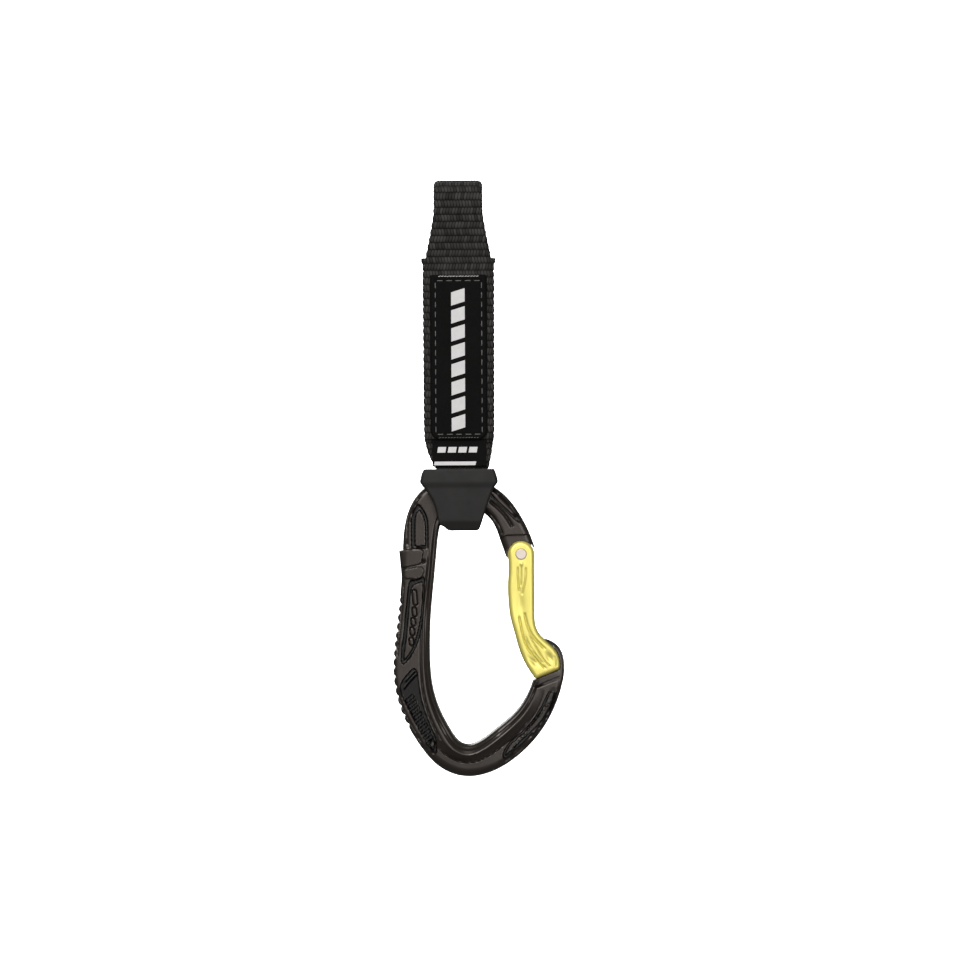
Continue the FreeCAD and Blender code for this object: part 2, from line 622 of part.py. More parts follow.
def rubber_keeper():
    """Moulded boot over the lower loop: a collar round the neck, then a tapering body that the bar runs through."""
    top, low = keeper_top(), keeper_bottom()
    brow, step = top - 4.6, top - 6.5
    wide = max(WEB_WIDE / 2, LOWER_WIDTH / 2 + 7) + 1.2
    left = [(-wide + 1.3, top), (-wide, brow), (-wide + 1.2, step), (-0.72 * wide, top - 10.2),
            (-0.6 * wide, top - 15.5), (-0.5 * wide, low + 1.6), (-LOWER_WIDTH / 2 + LOWER_SHIFT - 1.1, low)]
    right = [(LOWER_WIDTH / 2 + LOWER_SHIFT + 0.9, low), (0.56 * wide, low + 1.2), (0.66 * wide, top - 16.5),
             (0.8 * wide, top - 9.0), (wide - 1.2, step), (wide, brow), (wide - 1.3, top)]
    front = slab(polygon([V(x, 0, z) for x, z in left + right]), 30)
    hollow = LOWER_HALF + WEB_THICKNESS + KEEPER_CLEARANCE
    deep = hollow + KEEPER_WALL
    side = [(deep - 1.2, top), (deep + 0.1, brow), (deep - 0.1, step), (deep - 0.3, top - 14.0),
            (deep - 1.6, low + 3.2), (deep - 4.2, low)]
    mirrored = [(-y, z) for y, z in reversed(side)]
    face = Part.Face(Part.makePolygon([V(-40, y, z) for y, z in side + mirrored + side[:1]]))
    boot = front.common(face.extrude(V(80, 0, 0))).removeSplitter()

    loop_z = LOWER_Z + LOWER_HALF
    mouth = hollow - 1.2
    slot = [(-mouth, top + 1), (-hollow, top - 4.5), (-hollow, loop_z), (hollow, loop_z), (hollow, top - 4.5),
            (mouth, top + 1)]
    slot_face = Part.Face(Part.makePolygon([V(-40, y, z) for y, z in slot + slot[:1]]))
    pocket = slot_face.extrude(V(80, 0, 0))
    round_end = Part.makeCylinder(hollow, 80, V(-40, 0, loop_z), V(1, 0, 0))
    pocket = pocket.fuse(round_end).common(slab(web_outline(KEEPER_CLEARANCE), 30))
    passage = bar_patch([(2.6, -1.0), (10.0, -1.0), (10.0, 1.0), (2.6, 1.0)], 0.5, 24)
    bar_room = along_bar(BASKET)[3] / math.cos(math.radians(SWING_DEG))
    bar_room += math.sin(math.radians(SWING_DEG)) * (BAR_Z - low) * 0.45 + KEEPER_CLEARANCE
    return boot.cut(pocket).cut(slab(passage, bar_room))


# ---- build ------------------------------------------------------------------------------------------------
def tack_height(share):
    return BLOCK_TOP - 3.0 - (BLOCK_TOP - BLOCK_BOTTOM - 6.0) * share


def parts():
    return {
        "sling_webbing": sling_webbing(),
        "label_patch": label_patch(),
        "label_stitching": label_stitching(),
        "bar_tack_upper": bar_tack(tack_height(0.06)),
        "bar_tack_middle_upper": bar_tack(tack_height(0.34)),
        "bar_tack_middle_lower": bar_tack(tack_height(0.66)),
        "bar_tack_lower": bar_tack(tack_height(0.94)),
        "care_tag": care_tag(),
        "rubber_keeper": rubber_keeper(),
        "carabiner_body": carabiner_body(),
        "gate": gate(),
        "gate_rivet": gate_rivet(),
        "gate_plunger": gate_plunger(),
        "gate_spring": gate_spring(),
    }


def main():
    os.makedirs("parts", exist_ok=True)
    for name, shape in parts().items():
        solids = shape.Solids
        print(f"{name}: {len(solids)} solid(s), valid {shape.isValid()}, {shape.Volume:.1f} mm3")
        shape.exportStep(f"parts/{name}.step")
    print("pivot", [round(v, 3) for v in PIVOT], "bar z", round(BAR_Z, 3))


main()
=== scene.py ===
# %% [markdown]
# # A climbing quickdraw, dressed over its engineering frame
# A sewn webbing sling hangs from its open eye and holds one bent-gate carabiner in a rubber keeper. The frame brings
# the sizes, the moving bodies and every hidden piece. This lesson adds what the eye sees: woven tape, thread, printed
# labels, moulded rubber and forged, anodised metal. Lengths are thought out in millimetres and stored in metres.

import json
import math

import bmesh
import bpy
import numpy as np
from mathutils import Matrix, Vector


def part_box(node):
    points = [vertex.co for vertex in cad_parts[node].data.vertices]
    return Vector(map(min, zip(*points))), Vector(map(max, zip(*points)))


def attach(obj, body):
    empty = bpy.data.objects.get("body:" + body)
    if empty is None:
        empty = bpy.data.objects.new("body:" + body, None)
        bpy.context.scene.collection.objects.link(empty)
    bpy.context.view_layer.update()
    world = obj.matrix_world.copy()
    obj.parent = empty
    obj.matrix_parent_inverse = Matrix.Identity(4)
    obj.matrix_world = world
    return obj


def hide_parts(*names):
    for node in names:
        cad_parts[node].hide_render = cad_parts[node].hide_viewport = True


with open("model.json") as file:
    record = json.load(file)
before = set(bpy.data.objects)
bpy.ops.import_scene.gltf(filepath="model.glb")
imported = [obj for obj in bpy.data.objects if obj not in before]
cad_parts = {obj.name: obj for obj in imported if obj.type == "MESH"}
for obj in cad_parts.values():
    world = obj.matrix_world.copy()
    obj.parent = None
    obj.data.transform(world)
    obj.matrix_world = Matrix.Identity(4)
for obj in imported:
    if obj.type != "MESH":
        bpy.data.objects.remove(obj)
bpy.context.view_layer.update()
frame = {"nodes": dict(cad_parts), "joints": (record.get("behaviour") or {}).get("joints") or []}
MM = 0.001
joints = {joint["name"]: joint for joint in frame["joints"]}
SWING = np.array(joints["carabiner_swing"]["pos_m"]) / MM
PIVOT = np.array(joints["gate_hinge"]["pos_m"]) / MM


def box_mm(node):
    low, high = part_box(node)
    return np.array(low) / MM, np.array(high) / MM


# %% [markdown]
# ## Small tools for lines and surfaces
# Nearly every piece here is a grid of points that follows a line: tape round a loop, metal along a bar, thread along a
# seam. A natural cubic spline through a few chosen points gives such a line. It could be a Blender curve object, but
# worked out in numpy the same line also gives tangents and distances, which the forged details need later.

# %% Lines, grids and pieces


def run_along(points):
    """Distances along an open line, from its first point to each of its points."""
    return np.concatenate([[0], np.cumsum(np.linalg.norm(np.diff(points, axis=0), axis=1))])


def directions(line):
    """Unit vectors along a line, one at each of its points."""
    along = np.gradient(line, axis=0)
    return along / np.linalg.norm(along, axis=1)[:, None]


def smoothed(values, passes):
    """A copy in which each inner value has been averaged with its neighbours, the given number of times."""
    values = values.copy()
    for _ in range(passes):
        values[1:-1] = (values[:-2] + 2 * values[1:-1] + values[2:]) / 4
    return values


def spline(points, where):
    """A natural cubic spline through the points, read at point numbers, which may be fractions."""
    p = np.asarray(points, float)
    knots = run_along(p)
    h = np.diff(knots)
    n = len(p)
    system, right = np.eye(n), np.zeros_like(p)
    for i in range(1, n - 1):
        system[i, i - 1:i + 2] = h[i - 1], 2 * (h[i - 1] + h[i]), h[i]
        right[i] = 6 * ((p[i + 1] - p[i]) / h[i] - (p[i] - p[i - 1]) / h[i - 1])
    bend = np.linalg.solve(system, right)
    u = np.interp(where, np.arange(n), knots)
    i = np.clip(np.searchsorted(knots, u) - 1, 0, n - 2)
    a = ((knots[i + 1] - u) / h[i])[:, None]
    b = 1 - a
    curve = (a**3 - a) * bend[i] + (b**3 - b) * bend[i + 1]
    return a * p[i] + b * p[i + 1] + curve * (h[i] ** 2 / 6)[:, None]


def spaced(points, count):
    """The same open line in the given number of even steps, and its points' distances from the start."""
    p = np.asarray(points, float)
    run = run_along(p)
    at = np.linspace(0, run[-1], count)
    return np.stack([np.interp(at, run, p[:, k]) for k in range(p.shape[1])], 1), at


def evenly(points, step):
    """The same open line with its points about a step apart, and their distances from the start."""
    length = run_along(np.asarray(points, float))[-1]
    return spaced(points, max(2, int(round(length / step)) + 1))


def grid_faces(rows, columns, closed=False):
    """Quads of a grid of points, stored row by row. A closed grid joins its last column to its first."""
    r, c = np.meshgrid(np.arange(rows - 1), np.arange(columns if closed else columns - 1), indexing="ij")
    nxt = (c + 1) % columns
    quads = [r * columns + c, r * columns + nxt, (r + 1) * columns + nxt, (r + 1) * columns + c]
    return np.stack(quads, -1).reshape(-1, 4)


def capped_tube(rows, columns):
    """Faces of a closed grid with a cap on its first and its last row."""
    last = (rows - 1) * columns
    caps = [list(range(columns)), list(range(last, last + columns))]
    return grid_faces(rows, columns, closed=True).tolist() + caps


def two_sided(rows, columns):
    """Faces of two equal grids, the front's points stored before the back's, with a wall round their rim."""
    front = grid_faces(rows, columns)
    n = rows * columns
    rim = [i * columns for i in range(rows)] + [n - columns + j for j in range(1, columns)]
    rim += [i * columns + columns - 1 for i in range(rows - 2, -1, -1)] + list(range(columns - 2, 0, -1))
    wall = [[a, b, b + n, a + n] for a, b in zip(rim, rim[1:] + rim[:1])]
    return front.tolist() + (front[:, ::-1] + n).tolist() + wall


def ring_solid(n):
    """Faces of two equal rings of n points, with a wall between them and both rings closed."""
    sides = [[i, (i + 1) % n, n + (i + 1) % n, n + i] for i in range(n)]
    return sides + [list(range(n)), list(range(n, 2 * n))]


def smoothstep(x):
    x = np.clip(x, 0, 1)
    return x * x * (3 - 2 * x)


def new_mesh(name, points, faces, sharp=35, uv=None):
    """A mesh object from points in millimetres, faced outwards, smooth but for edges sharper than the given angle."""
    mesh = bpy.data.meshes.new(name)
    mesh.from_pydata((np.asarray(points) * MM).tolist(), [], [list(map(int, f)) for f in faces])
    if uv is not None:
        layer = mesh.uv_layers.new(name="cloth")
        corner = np.zeros(len(mesh.loops), np.int32)
        mesh.loops.foreach_get("vertex_index", corner)
        layer.data.foreach_set("uv", np.asarray(uv, np.float32)[corner].ravel())
    tidy = bmesh.new()
    tidy.from_mesh(mesh)
    bmesh.ops.recalc_face_normals(tidy, faces=tidy.faces)
    tidy.to_mesh(mesh)
    tidy.free()
    shade(mesh, sharp)
    piece = bpy.data.objects.new(name, mesh)
    bpy.context.scene.collection.objects.link(piece)
    return piece


def shade(mesh, sharp):
    mesh.shade_smooth()
    mesh.set_sharp_from_angle(angle=math.radians(sharp))


def finish_piece(piece, material, body, slot, *stands_for):
    """Gives a piece its finish and its body, hides the frame's nodes that it stands for, and reports it."""
    piece.data.materials.clear()
    piece.data.materials.append(material)
    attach(piece, body)
    if stands_for:
        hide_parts(*stands_for)
    low, high = np.array(piece.bound_box).min(0) / MM, np.array(piece.bound_box).max(0) / MM
    print(f"{piece.name}: {len(piece.data.polygons)} faces, {np.round(low, 1)} to {np.round(high, 1)} mm")


def merge(name, parts, sharp=35, uv=None):
    """One mesh from several (points, faces) pairs."""
    points, faces, at = [], [], 0
    for p, f in parts:
        points.append(np.asarray(p, float))
        faces += [[int(i) + at for i in face] for face in f]
        at += len(p)
    return new_mesh(name, np.concatenate(points), faces, sharp, uv)


def prism(outline, half, name="cutter"):
    """A closed outline in the XZ plane as a solid that reaches half either side of it."""
    outline = np.asarray(outline, float)
    n = len(outline)
    front = np.column_stack([outline[:, 0], np.full(n, -half), outline[:, 1]])
    back = front + [0, 2 * half, 0]
    return new_mesh(name, np.concatenate([front, back]), ring_solid(n))


def two_faced(name, flat, height):
    """A solid with the same face on both sides: a grid of (x, z), raised by a height in front and behind."""
    front = np.stack([flat[..., 0], -height, flat[..., 1]], -1).reshape(-1, 3)
    return new_mesh(name, np.concatenate([front, front * [1, -1, 1]]), two_sided(*height.shape))


def apply_modifiers(piece):
    graph = bpy.context.evaluated_depsgraph_get()
    graph.update()
    made = bpy.data.meshes.new_from_object(piece.evaluated_get(graph))
    piece.modifiers.clear()
    piece.data = made


def cut(piece, tool, operation="DIFFERENCE"):
    """Cuts the tool out of the piece, or joins it, and removes the tool."""
    modifier = piece.modifiers.new("cut", "BOOLEAN")
    modifier.operation, modifier.solver, modifier.object = operation, "EXACT", tool
    bpy.context.view_layer.update()
    apply_modifiers(piece)
    bpy.data.objects.remove(tool)
    return piece


print("tools ready")

# %% [markdown]
# ## Shader groups that several finishes share
# Fine grain, woven yarns, rubbed edges and settled dust each turn up in more than one finish. A node group holds such
# an effect once. It is placed in each material with its own values, so that a change to the weave reaches the sling
# and the labels together. The groups only give masks, heights and colours: the shader itself stays in the material.

# %% Group helpers


def new_group(name, inputs, outputs):
    tree = bpy.data.node_groups.new(name, "ShaderNodeTree")
    kinds = {"f": "NodeSocketFloat", "c": "NodeSocketColor", "v": "NodeSocketVector"}
    for label, kind, value in inputs:
        socket = tree.interface.new_socket(name=label, in_out="INPUT", socket_type=kinds[kind])
        if value is not None:
            socket.default_value = value
    for label, kind in outputs:
        tree.interface.new_socket(name=label, in_out="OUTPUT", socket_type=kinds[kind])
    return tree, tree.nodes.new("NodeGroupInput").outputs, tree.nodes.new("NodeGroupOutput").inputs


def join(tree, source, socket):
    """Links a socket to a socket, or sets the value there."""
    if isinstance(source, bpy.types.NodeSocket):
        tree.links.new(source, socket)
    else:
        socket.default_value = source


def maths(tree, operation, *values):
    node = tree.nodes.new("ShaderNodeMath")
    node.operation = operation
    for value, socket in zip(values, node.inputs):
        join(tree, value, socket)
    return node.outputs[0]


def clamped(tree, value):
    return maths(tree, "MINIMUM", maths(tree, "MAXIMUM", value, 0.0), 1.0)


def from_middle(tree, value, power):
    """0 in the middle of a value's run from 0 to 1, and 1 at both of its ends."""
    away = maths(tree, "ABSOLUTE", maths(tree, "SUBTRACT", maths(tree, "MULTIPLY", value, 2.0), 1.0))
    return maths(tree, "POWER", away, power)


def blend_colours(tree, share, first, second):
    node = tree.nodes.new("ShaderNodeMix")
    node.data_type = "RGBA"
    for source, socket in ((share, node.inputs[0]), (first, node.inputs[6]), (second, node.inputs[7])):
        join(tree, source, socket)
    return node.outputs[2]


def noise(tree, where, scale, detail=3.0, rough=0.55):
    node = tree.nodes.new("ShaderNodeTexNoise")
    join(tree, where, node.inputs["Vector"])
    for label, value in (("Scale", scale), ("Detail", detail), ("Roughness", rough)):
        join(tree, value, node.inputs[label])
    return node.outputs["Fac"]


# %% The shared effects


def make_grain_group():
    """Fine noise for a surface's bump, and a slow one that shifts its shine."""
    tree, given, out = new_group(
        "surface_grain", [("Place", "v", None), ("Fine Scale", "f", 4000.0), ("Slow Scale", "f", 180.0)],
        [("Height", "f"), ("Drift", "f")])
    join(tree, noise(tree, given["Place"], given["Fine Scale"], 4.0, 0.6), out["Height"])
    join(tree, noise(tree, given["Place"], given["Slow Scale"], 3.0), out["Drift"])
    return tree


def make_weave_group():
    """Rows of short raised yarns, like grains of rice, each row shifted by half a yarn. The place is in millimetres,
    x across the tape and y along it."""
    tree, given, out = new_group(
        "woven_yarns",
        [("Place", "v", None), ("Yarn Width", "f", 0.85), ("Row Pitch", "f", 2.5), ("Slant", "f", 0.35)],
        [("Height", "f"), ("Gap_Shade", "f"), ("Tone", "f")])
    split = tree.nodes.new("ShaderNodeSeparateXYZ")
    join(tree, given["Place"], split.inputs[0])
    rows = maths(tree, "DIVIDE", split.outputs[1], given["Row Pitch"])
    row = maths(tree, "FLOOR", rows)
    along = maths(tree, "FRACT", rows)
    odd = maths(tree, "FLOORED_MODULO", row, 2.0)
    side = maths(tree, "SUBTRACT", 1.0, maths(tree, "MULTIPLY", odd, 2.0))
    slant = maths(tree, "MULTIPLY", side, given["Slant"])
    lean = maths(tree, "MULTIPLY", maths(tree, "SUBTRACT", along, 0.5), slant)
    across = maths(tree, "DIVIDE", split.outputs[0], given["Yarn Width"])
    across = maths(tree, "ADD", maths(tree, "ADD", across, maths(tree, "MULTIPLY", odd, 0.5)), lean)
    yarn, q = maths(tree, "FLOOR", across), maths(tree, "FRACT", across)
    hump, end = from_middle(tree, q, 2.2), from_middle(tree, along, 3.0)
    height = maths(tree, "MULTIPLY", maths(tree, "SUBTRACT", 1.0, hump), maths(tree, "SUBTRACT", 1.0, end))
    height = maths(tree, "POWER", maths(tree, "MAXIMUM", height, 0.0), 0.6)
    cell = tree.nodes.new("ShaderNodeCombineXYZ")
    join(tree, yarn, cell.inputs[0])
    join(tree, row, cell.inputs[1])
    chance = tree.nodes.new("ShaderNodeTexWhiteNoise")
    chance.noise_dimensions = "3D"
    join(tree, cell.outputs[0], chance.inputs["Vector"])
    # the gap mask is for painted shade: the colour between the yarns is darkened as if shade fell there
    filled = maths(tree, "MINIMUM", maths(tree, "MULTIPLY", height, 1.35), 1.0)
    join(tree, height, out["Height"])
    join(tree, maths(tree, "SUBTRACT", 1.0, filled), out["Gap_Shade"])
    join(tree, chance.outputs["Value"], out["Tone"])
    return tree


def make_wear_group():
    """Rubbed edges: a mask that says where edges are, broken up by noise, blends in the paler worn colour."""
    tree, given, out = new_group(
        "rubbed_edges",
        [("Place", "v", None), ("Edge", "f", 0.0), ("Amount", "f", 0.5), ("Base", "c", None), ("Worn", "c", None)],
        [("Color", "c"), ("Mask", "f")])
    patchy = maths(tree, "MULTIPLY_ADD", noise(tree, given["Place"], 900.0, 5.0, 0.65), 1.6, -0.35)
    mask = maths(tree, "MULTIPLY", maths(tree, "MULTIPLY", given["Edge"], patchy), given["Amount"])
    mask = clamped(tree, mask)
    join(tree, blend_colours(tree, mask, given["Base"], given["Worn"]), out["Color"])
    join(tree, mask, out["Mask"])
    return tree


def make_dust_group():
    """A thin, uneven haze of handling dust."""
    tree, given, out = new_group(
        "handling_dust",
        [("Place", "v", None), ("Amount", "f", 0.2), ("Base", "c", None), ("Dust", "c", (0.3, 0.28, 0.26, 1))],
        [("Color", "c")])
    cloud = maths(tree, "MULTIPLY_ADD", noise(tree, given["Place"], 120.0, 6.0, 0.7), 2.0, -0.6)
    share = maths(tree, "MULTIPLY", clamped(tree, cloud), given["Amount"])
    join(tree, blend_colours(tree, share, given["Base"], given["Dust"]), out["Color"])
    return tree


grain_group, weave_group = make_grain_group(), make_weave_group()
wear_group, dust_group = make_wear_group(), make_dust_group()
print("groups", [g.name for g in bpy.data.node_groups])

# %% [markdown]
# ## The finishes
# Tape and label are black nylon, so their look is in the weave: each yarn catches light along its back, and the gaps
# between yarns are painted dark as shade. The rubber is matt with a faint mould grain. The bar is forged, tumbled and
# anodised almost black with a warm tint, paler where ridges rub, and painted darker in its recesses as shade. The
# gate's anodising is a pale yellow over metal. Values that are the same all over stand on the shader's own sockets.

# %% Material helper


class Finish:
    """A material with its shader, its object coordinates and a bump that any height can be linked to."""

    def __init__(self, name, colour, roughness, metallic=0.0, bump=0.3, depth=0.0001):
        self.material = bpy.data.materials.new(name)
        self.material.use_nodes = True
        self.tree = self.material.node_tree
        self.shader = self.tree.nodes["Principled BSDF"]
        self.shader.inputs["Base Color"].default_value = (*colour, 1)
        self.shader.inputs["Roughness"].default_value = roughness
        self.shader.inputs["Metallic"].default_value = metallic
        self.place = self.tree.nodes.new("ShaderNodeTexCoord").outputs["Object"]
        self.bump = self.tree.nodes.new("ShaderNodeBump")
        self.bump.inputs["Strength"].default_value = bump
        self.bump.inputs["Distance"].default_value = depth
        self.link(self.bump.outputs[0], "Normal")

    def link(self, source, socket):
        self.tree.links.new(source, self.shader.inputs[socket])

    def set(self, **values):
        for name, value in values.items():
            self.shader.inputs[name.replace("_", " ")].default_value = value

    def group(self, tree, **values):
        node = self.tree.nodes.new("ShaderNodeGroup")
        node.node_tree = tree
        for name, value in values.items():
            join(self.tree, value, node.inputs[name.replace("_", " ")])
        return node.outputs

    def height(self, source):
        join(self.tree, source, self.bump.inputs["Height"])

    def attribute(self, name):
        node = self.tree.nodes.new("ShaderNodeAttribute")
        node.attribute_name = name
        return node.outputs["Fac"]

    def cloth_place(self):
        node = self.tree.nodes.new("ShaderNodeUVMap")
        node.uv_map = "cloth"
        return node.outputs[0]

    def span(self, source, low, high):
        """The source, from 0 to 1, carried to the range from low to high."""
        return maths(self.tree, "MULTIPLY_ADD", source, high - low, low)


# %% Fabric finishes


def woven_finish(name, dark, light, yarn, pitch, slant, depth, roughness, fuzz, dust):
    """Black nylon in a weave of the given scale. The cloth map gives places on the tape in millimetres."""
    finish = Finish(name, light, roughness, bump=0.9, depth=depth)
    where = finish.cloth_place()
    weave = finish.group(weave_group, Place=where, Yarn_Width=yarn, Row_Pitch=pitch, Slant=slant)
    grain = finish.group(grain_group, Place=where, Fine_Scale=9.0, Slow_Scale=0.12)
    tree = finish.tree
    toned = blend_colours(tree, finish.span(weave["Tone"], 0.35, 1.0), (*dark, 1), (*light, 1))
    # painted shade: the gaps between yarns are darkened to near black
    toned = blend_colours(tree, maths(tree, "MULTIPLY", weave["Gap_Shade"], 0.95), toned, (*[c * 0.15 for c in dark], 1))
    dusty = finish.group(dust_group, Place=finish.place, Amount=dust, Base=toned)
    finish.link(dusty["Color"], "Base Color")
    finish.link(finish.span(grain["Drift"], roughness - 0.12, roughness + 0.12), "Roughness")
    finish.height(maths(tree, "MULTIPLY_ADD", grain["Height"], fuzz, weave["Height"]))
    finish.set(Specular_IOR_Level=0.06)
    return finish.material


RIB, YARN = 2.5, 1.07                  # pitch of the tape's ribs, width of one yarn
TAPE_BLACK, TAPE_GREY = (0.005, 0.0048, 0.0045), (0.056, 0.0535, 0.0505)
LABEL_BLACK, LABEL_GREY = (0.002, 0.002, 0.002), (0.0065, 0.006, 0.0057)
webbing_finish = woven_finish(
    "black_webbing", TAPE_BLACK, TAPE_GREY, yarn=YARN, pitch=RIB, slant=0.45, depth=0.0005, roughness=0.62, fuzz=0.25,
    dust=0.012)
label_finish = woven_finish(
    "label_cloth", LABEL_BLACK, LABEL_GREY, yarn=0.22, pitch=0.3, slant=0.2, depth=0.00004, roughness=0.7, fuzz=0.4,
    dust=0.006)


def thread_finish(name, colour):
    """Twisted sewing thread: fine stripes that wind round it, from the cloth map."""
    finish = Finish(name, colour, 0.55, bump=0.6, depth=0.00006)
    split = finish.tree.nodes.new("ShaderNodeSeparateXYZ")
    join(finish.tree, finish.cloth_place(), split.inputs[0])
    around = maths(finish.tree, "MULTIPLY", split.outputs[1], 2 * math.pi)
    phase = maths(finish.tree, "MULTIPLY_ADD", split.outputs[0], 9.0, around)
    twist = maths(finish.tree, "MULTIPLY_ADD", maths(finish.tree, "SINE", phase), 0.5, 0.5)
    grain = finish.group(grain_group, Place=finish.place, Fine_Scale=9000.0, Slow_Scale=600.0)
    finish.height(maths(finish.tree, "MULTIPLY_ADD", grain["Height"], 0.3, twist))
    pale = tuple(min(1, c * 1.5) for c in colour)
    finish.link(blend_colours(finish.tree, grain["Drift"], (*colour, 1), (*pale, 1)), "Base Color")
    finish.set(Sheen_Weight=0.3, Specular_IOR_Level=0.4)
    return finish.material


seam_thread = thread_finish("grey_thread", (0.095, 0.092, 0.089))
tack_thread = thread_finish("black_thread", (0.03, 0.03, 0.032))
edge_thread = thread_finish("white_thread", (0.55, 0.54, 0.53))


def ink_finish():
    """White print that lies on the weave, thinner where it has been rubbed."""
    finish = Finish("white_ink", (0.62, 0.6, 0.6), 0.6, bump=0.5, depth=0.00004)
    grain = finish.group(grain_group, Place=finish.place, Fine_Scale=5200.0, Slow_Scale=700.0)
    rubbed = finish.group(
        wear_group, Place=finish.place, Edge=grain["Drift"], Amount=0.55, Base=(0.66, 0.645, 0.64, 1),
        Worn=(0.36, 0.35, 0.35, 1))
    finish.link(rubbed["Color"], "Base Color")
    finish.height(grain["Height"])
    return finish.material


ink = ink_finish()
print("fabric finishes done")

# %% Rubber and metal finishes


RUBBER_BLACK = (0.0125, 0.0115, 0.011)


def rubber_finish():
    finish = Finish("keeper_rubber", RUBBER_BLACK, 0.62, bump=0.35, depth=0.00006)
    grain = finish.group(grain_group, Place=finish.place, Fine_Scale=3800.0, Slow_Scale=260.0)
    rubbed = finish.group(
        wear_group, Place=finish.place, Edge=finish.attribute("edge"), Amount=0.5, Base=(*RUBBER_BLACK, 1),
        Worn=(0.035, 0.033, 0.031, 1))
    dusty = finish.group(dust_group, Place=finish.place, Amount=0.02, Base=rubbed["Color"])
    finish.link(dusty["Color"], "Base Color")
    finish.link(finish.span(grain["Drift"], 0.5, 0.72), "Roughness")
    finish.height(grain["Height"])
    finish.set(Specular_IOR_Level=0.25)
    return finish.material


def anodised_finish(name, colour, worn, roughness, metallic, amount, dust, recess_shade=None):
    """Anodised metal with a tumbled grain. The edge mask is worked out on the mesh, where ridges stand proud."""
    finish = Finish(name, colour, roughness, metallic, bump=0.25, depth=0.00004)
    grain = finish.group(grain_group, Place=finish.place, Fine_Scale=5200.0, Slow_Scale=150.0)
    rubbed = finish.group(
        wear_group, Place=finish.place, Edge=finish.attribute("edge"), Amount=amount, Base=(*colour, 1),
        Worn=(*worn, 1))
    skin = finish.group(dust_group, Place=finish.place, Amount=dust, Base=rubbed["Color"])["Color"]
    if recess_shade:                         # painted shade: pocket floors and link grooves are darkened as if shade fell in them
        skin = blend_colours(finish.tree, finish.attribute("hollow"), skin, (*recess_shade, 1))
    finish.link(skin, "Base Color")
    finish.link(finish.span(grain["Drift"], roughness - 0.09, roughness + 0.09), "Roughness")
    finish.height(grain["Height"])
    return finish


# the last colour is painted shade, laid into the bar's pockets and link grooves
body_metal = anodised_finish(
    "forged_brown_black", (0.040, 0.0325, 0.0275), (0.15, 0.13, 0.115), roughness=0.36, metallic=0.75, amount=0.45,
    dust=0.02, recess_shade=(0.009, 0.008, 0.0075))
body_metal.set(Coat_Weight=0.25, Coat_Roughness=0.22)
gate_metal = anodised_finish(
    "yellow_anodised", (0.80, 0.70, 0.17), (0.95, 0.90, 0.52), roughness=0.42, metallic=0.55, amount=0.5, dust=0.01)
gate_metal.set(Coat_Weight=0.2, Coat_Roughness=0.25)
steel_metal = anodised_finish(
    "rivet_steel", (0.60, 0.52, 0.46), (0.8, 0.75, 0.7), roughness=0.5, metallic=0.9, amount=0.0, dust=0.02)
rubber = rubber_finish()
print("materials", len(bpy.data.materials))

# %% [markdown]
# ## The sling's tape
# The sling is one strip of variable-width tape. It starts between the layers, goes down round the bar, up the back,
# over the open eye and down the front. A cloth simulation would only crease it: stitched tape under load is flat, so
# its path is drawn. The ribs are real relief in the mesh, and the single yarns come from the weave group, which
# reads a cloth map in millimetres.

# %% The path of the strip
web_low, web_high = box_mm("sling_webbing")
patch_low, patch_high = box_mm("label_patch")
tag_low, tag_high = box_mm("care_tag")
keeper_low, keeper_high = box_mm("rubber_keeper")
TAPE = web_high[2]                     # the eye bears at the origin, so the tape's top is its thickness
LAYER_GAP = 0.12
LAYER = TAPE + LAYER_GAP
STACK = -patch_high[1]                 # the block's front face, where the label lies
PATCH_DROP, PATCH_MARGIN = 6.1, 0.9    # how far the block reaches past the label, above and below
BLOCK_TOP, BLOCK_BOTTOM = patch_high[2] + PATCH_DROP, patch_low[2] - PATCH_MARGIN
WIDE, NARROW = web_high[0], 8.75       # half the tape's width at the block and at the eye
LOOP_Z = SWING[2]
LOOP_HALF = web_high[1] - TAPE / 2     # the lower loop's middle line
EYE_HALF, EYE_CENTRE = 6.0, -5.0       # radius of the eye's turn and the height of its centre


def round_turn(centre_z, radius, start, end, step=4):
    """Points of an arc in the YZ plane. Angles are in degrees, 0 is +Y and 90 is +Z."""
    angles = np.radians(np.arange(start, end + (1 if end > start else -1), step if end > start else -step))
    return [(radius * math.cos(a), centre_z + radius * math.sin(a)) for a in angles]


loop_centre = web_low[2] + TAPE / 2 + LOOP_HALF
neck_z = loop_centre + 0.55 * (BLOCK_BOTTOM - loop_centre) - 4.0
lower_turn = round_turn(loop_centre, LOOP_HALF, 180, 360)
eye_turn = round_turn(EYE_CENTRE, EYE_HALF, -10, 190)
inner_layer = [(0, BLOCK_TOP), (0, BLOCK_BOTTOM - 0.2)]
outer_path = [(0, BLOCK_BOTTOM + 2.0), (0, BLOCK_BOTTOM), (-LOOP_HALF, neck_z)] + lower_turn
outer_path += [(LOOP_HALF, neck_z), (LAYER, BLOCK_BOTTOM), (LAYER, BLOCK_TOP - 1.0)] + eye_turn
outer_path += [(-LAYER, BLOCK_TOP - 1.0), (-LAYER, BLOCK_BOTTOM + 1.2)]


def softened(points, step, passes):
    """An even line whose corners have been eased by averaging each point with its neighbours."""
    return evenly(smoothed(evenly(points, step)[0], passes), step)


END_FLARE = 0.9


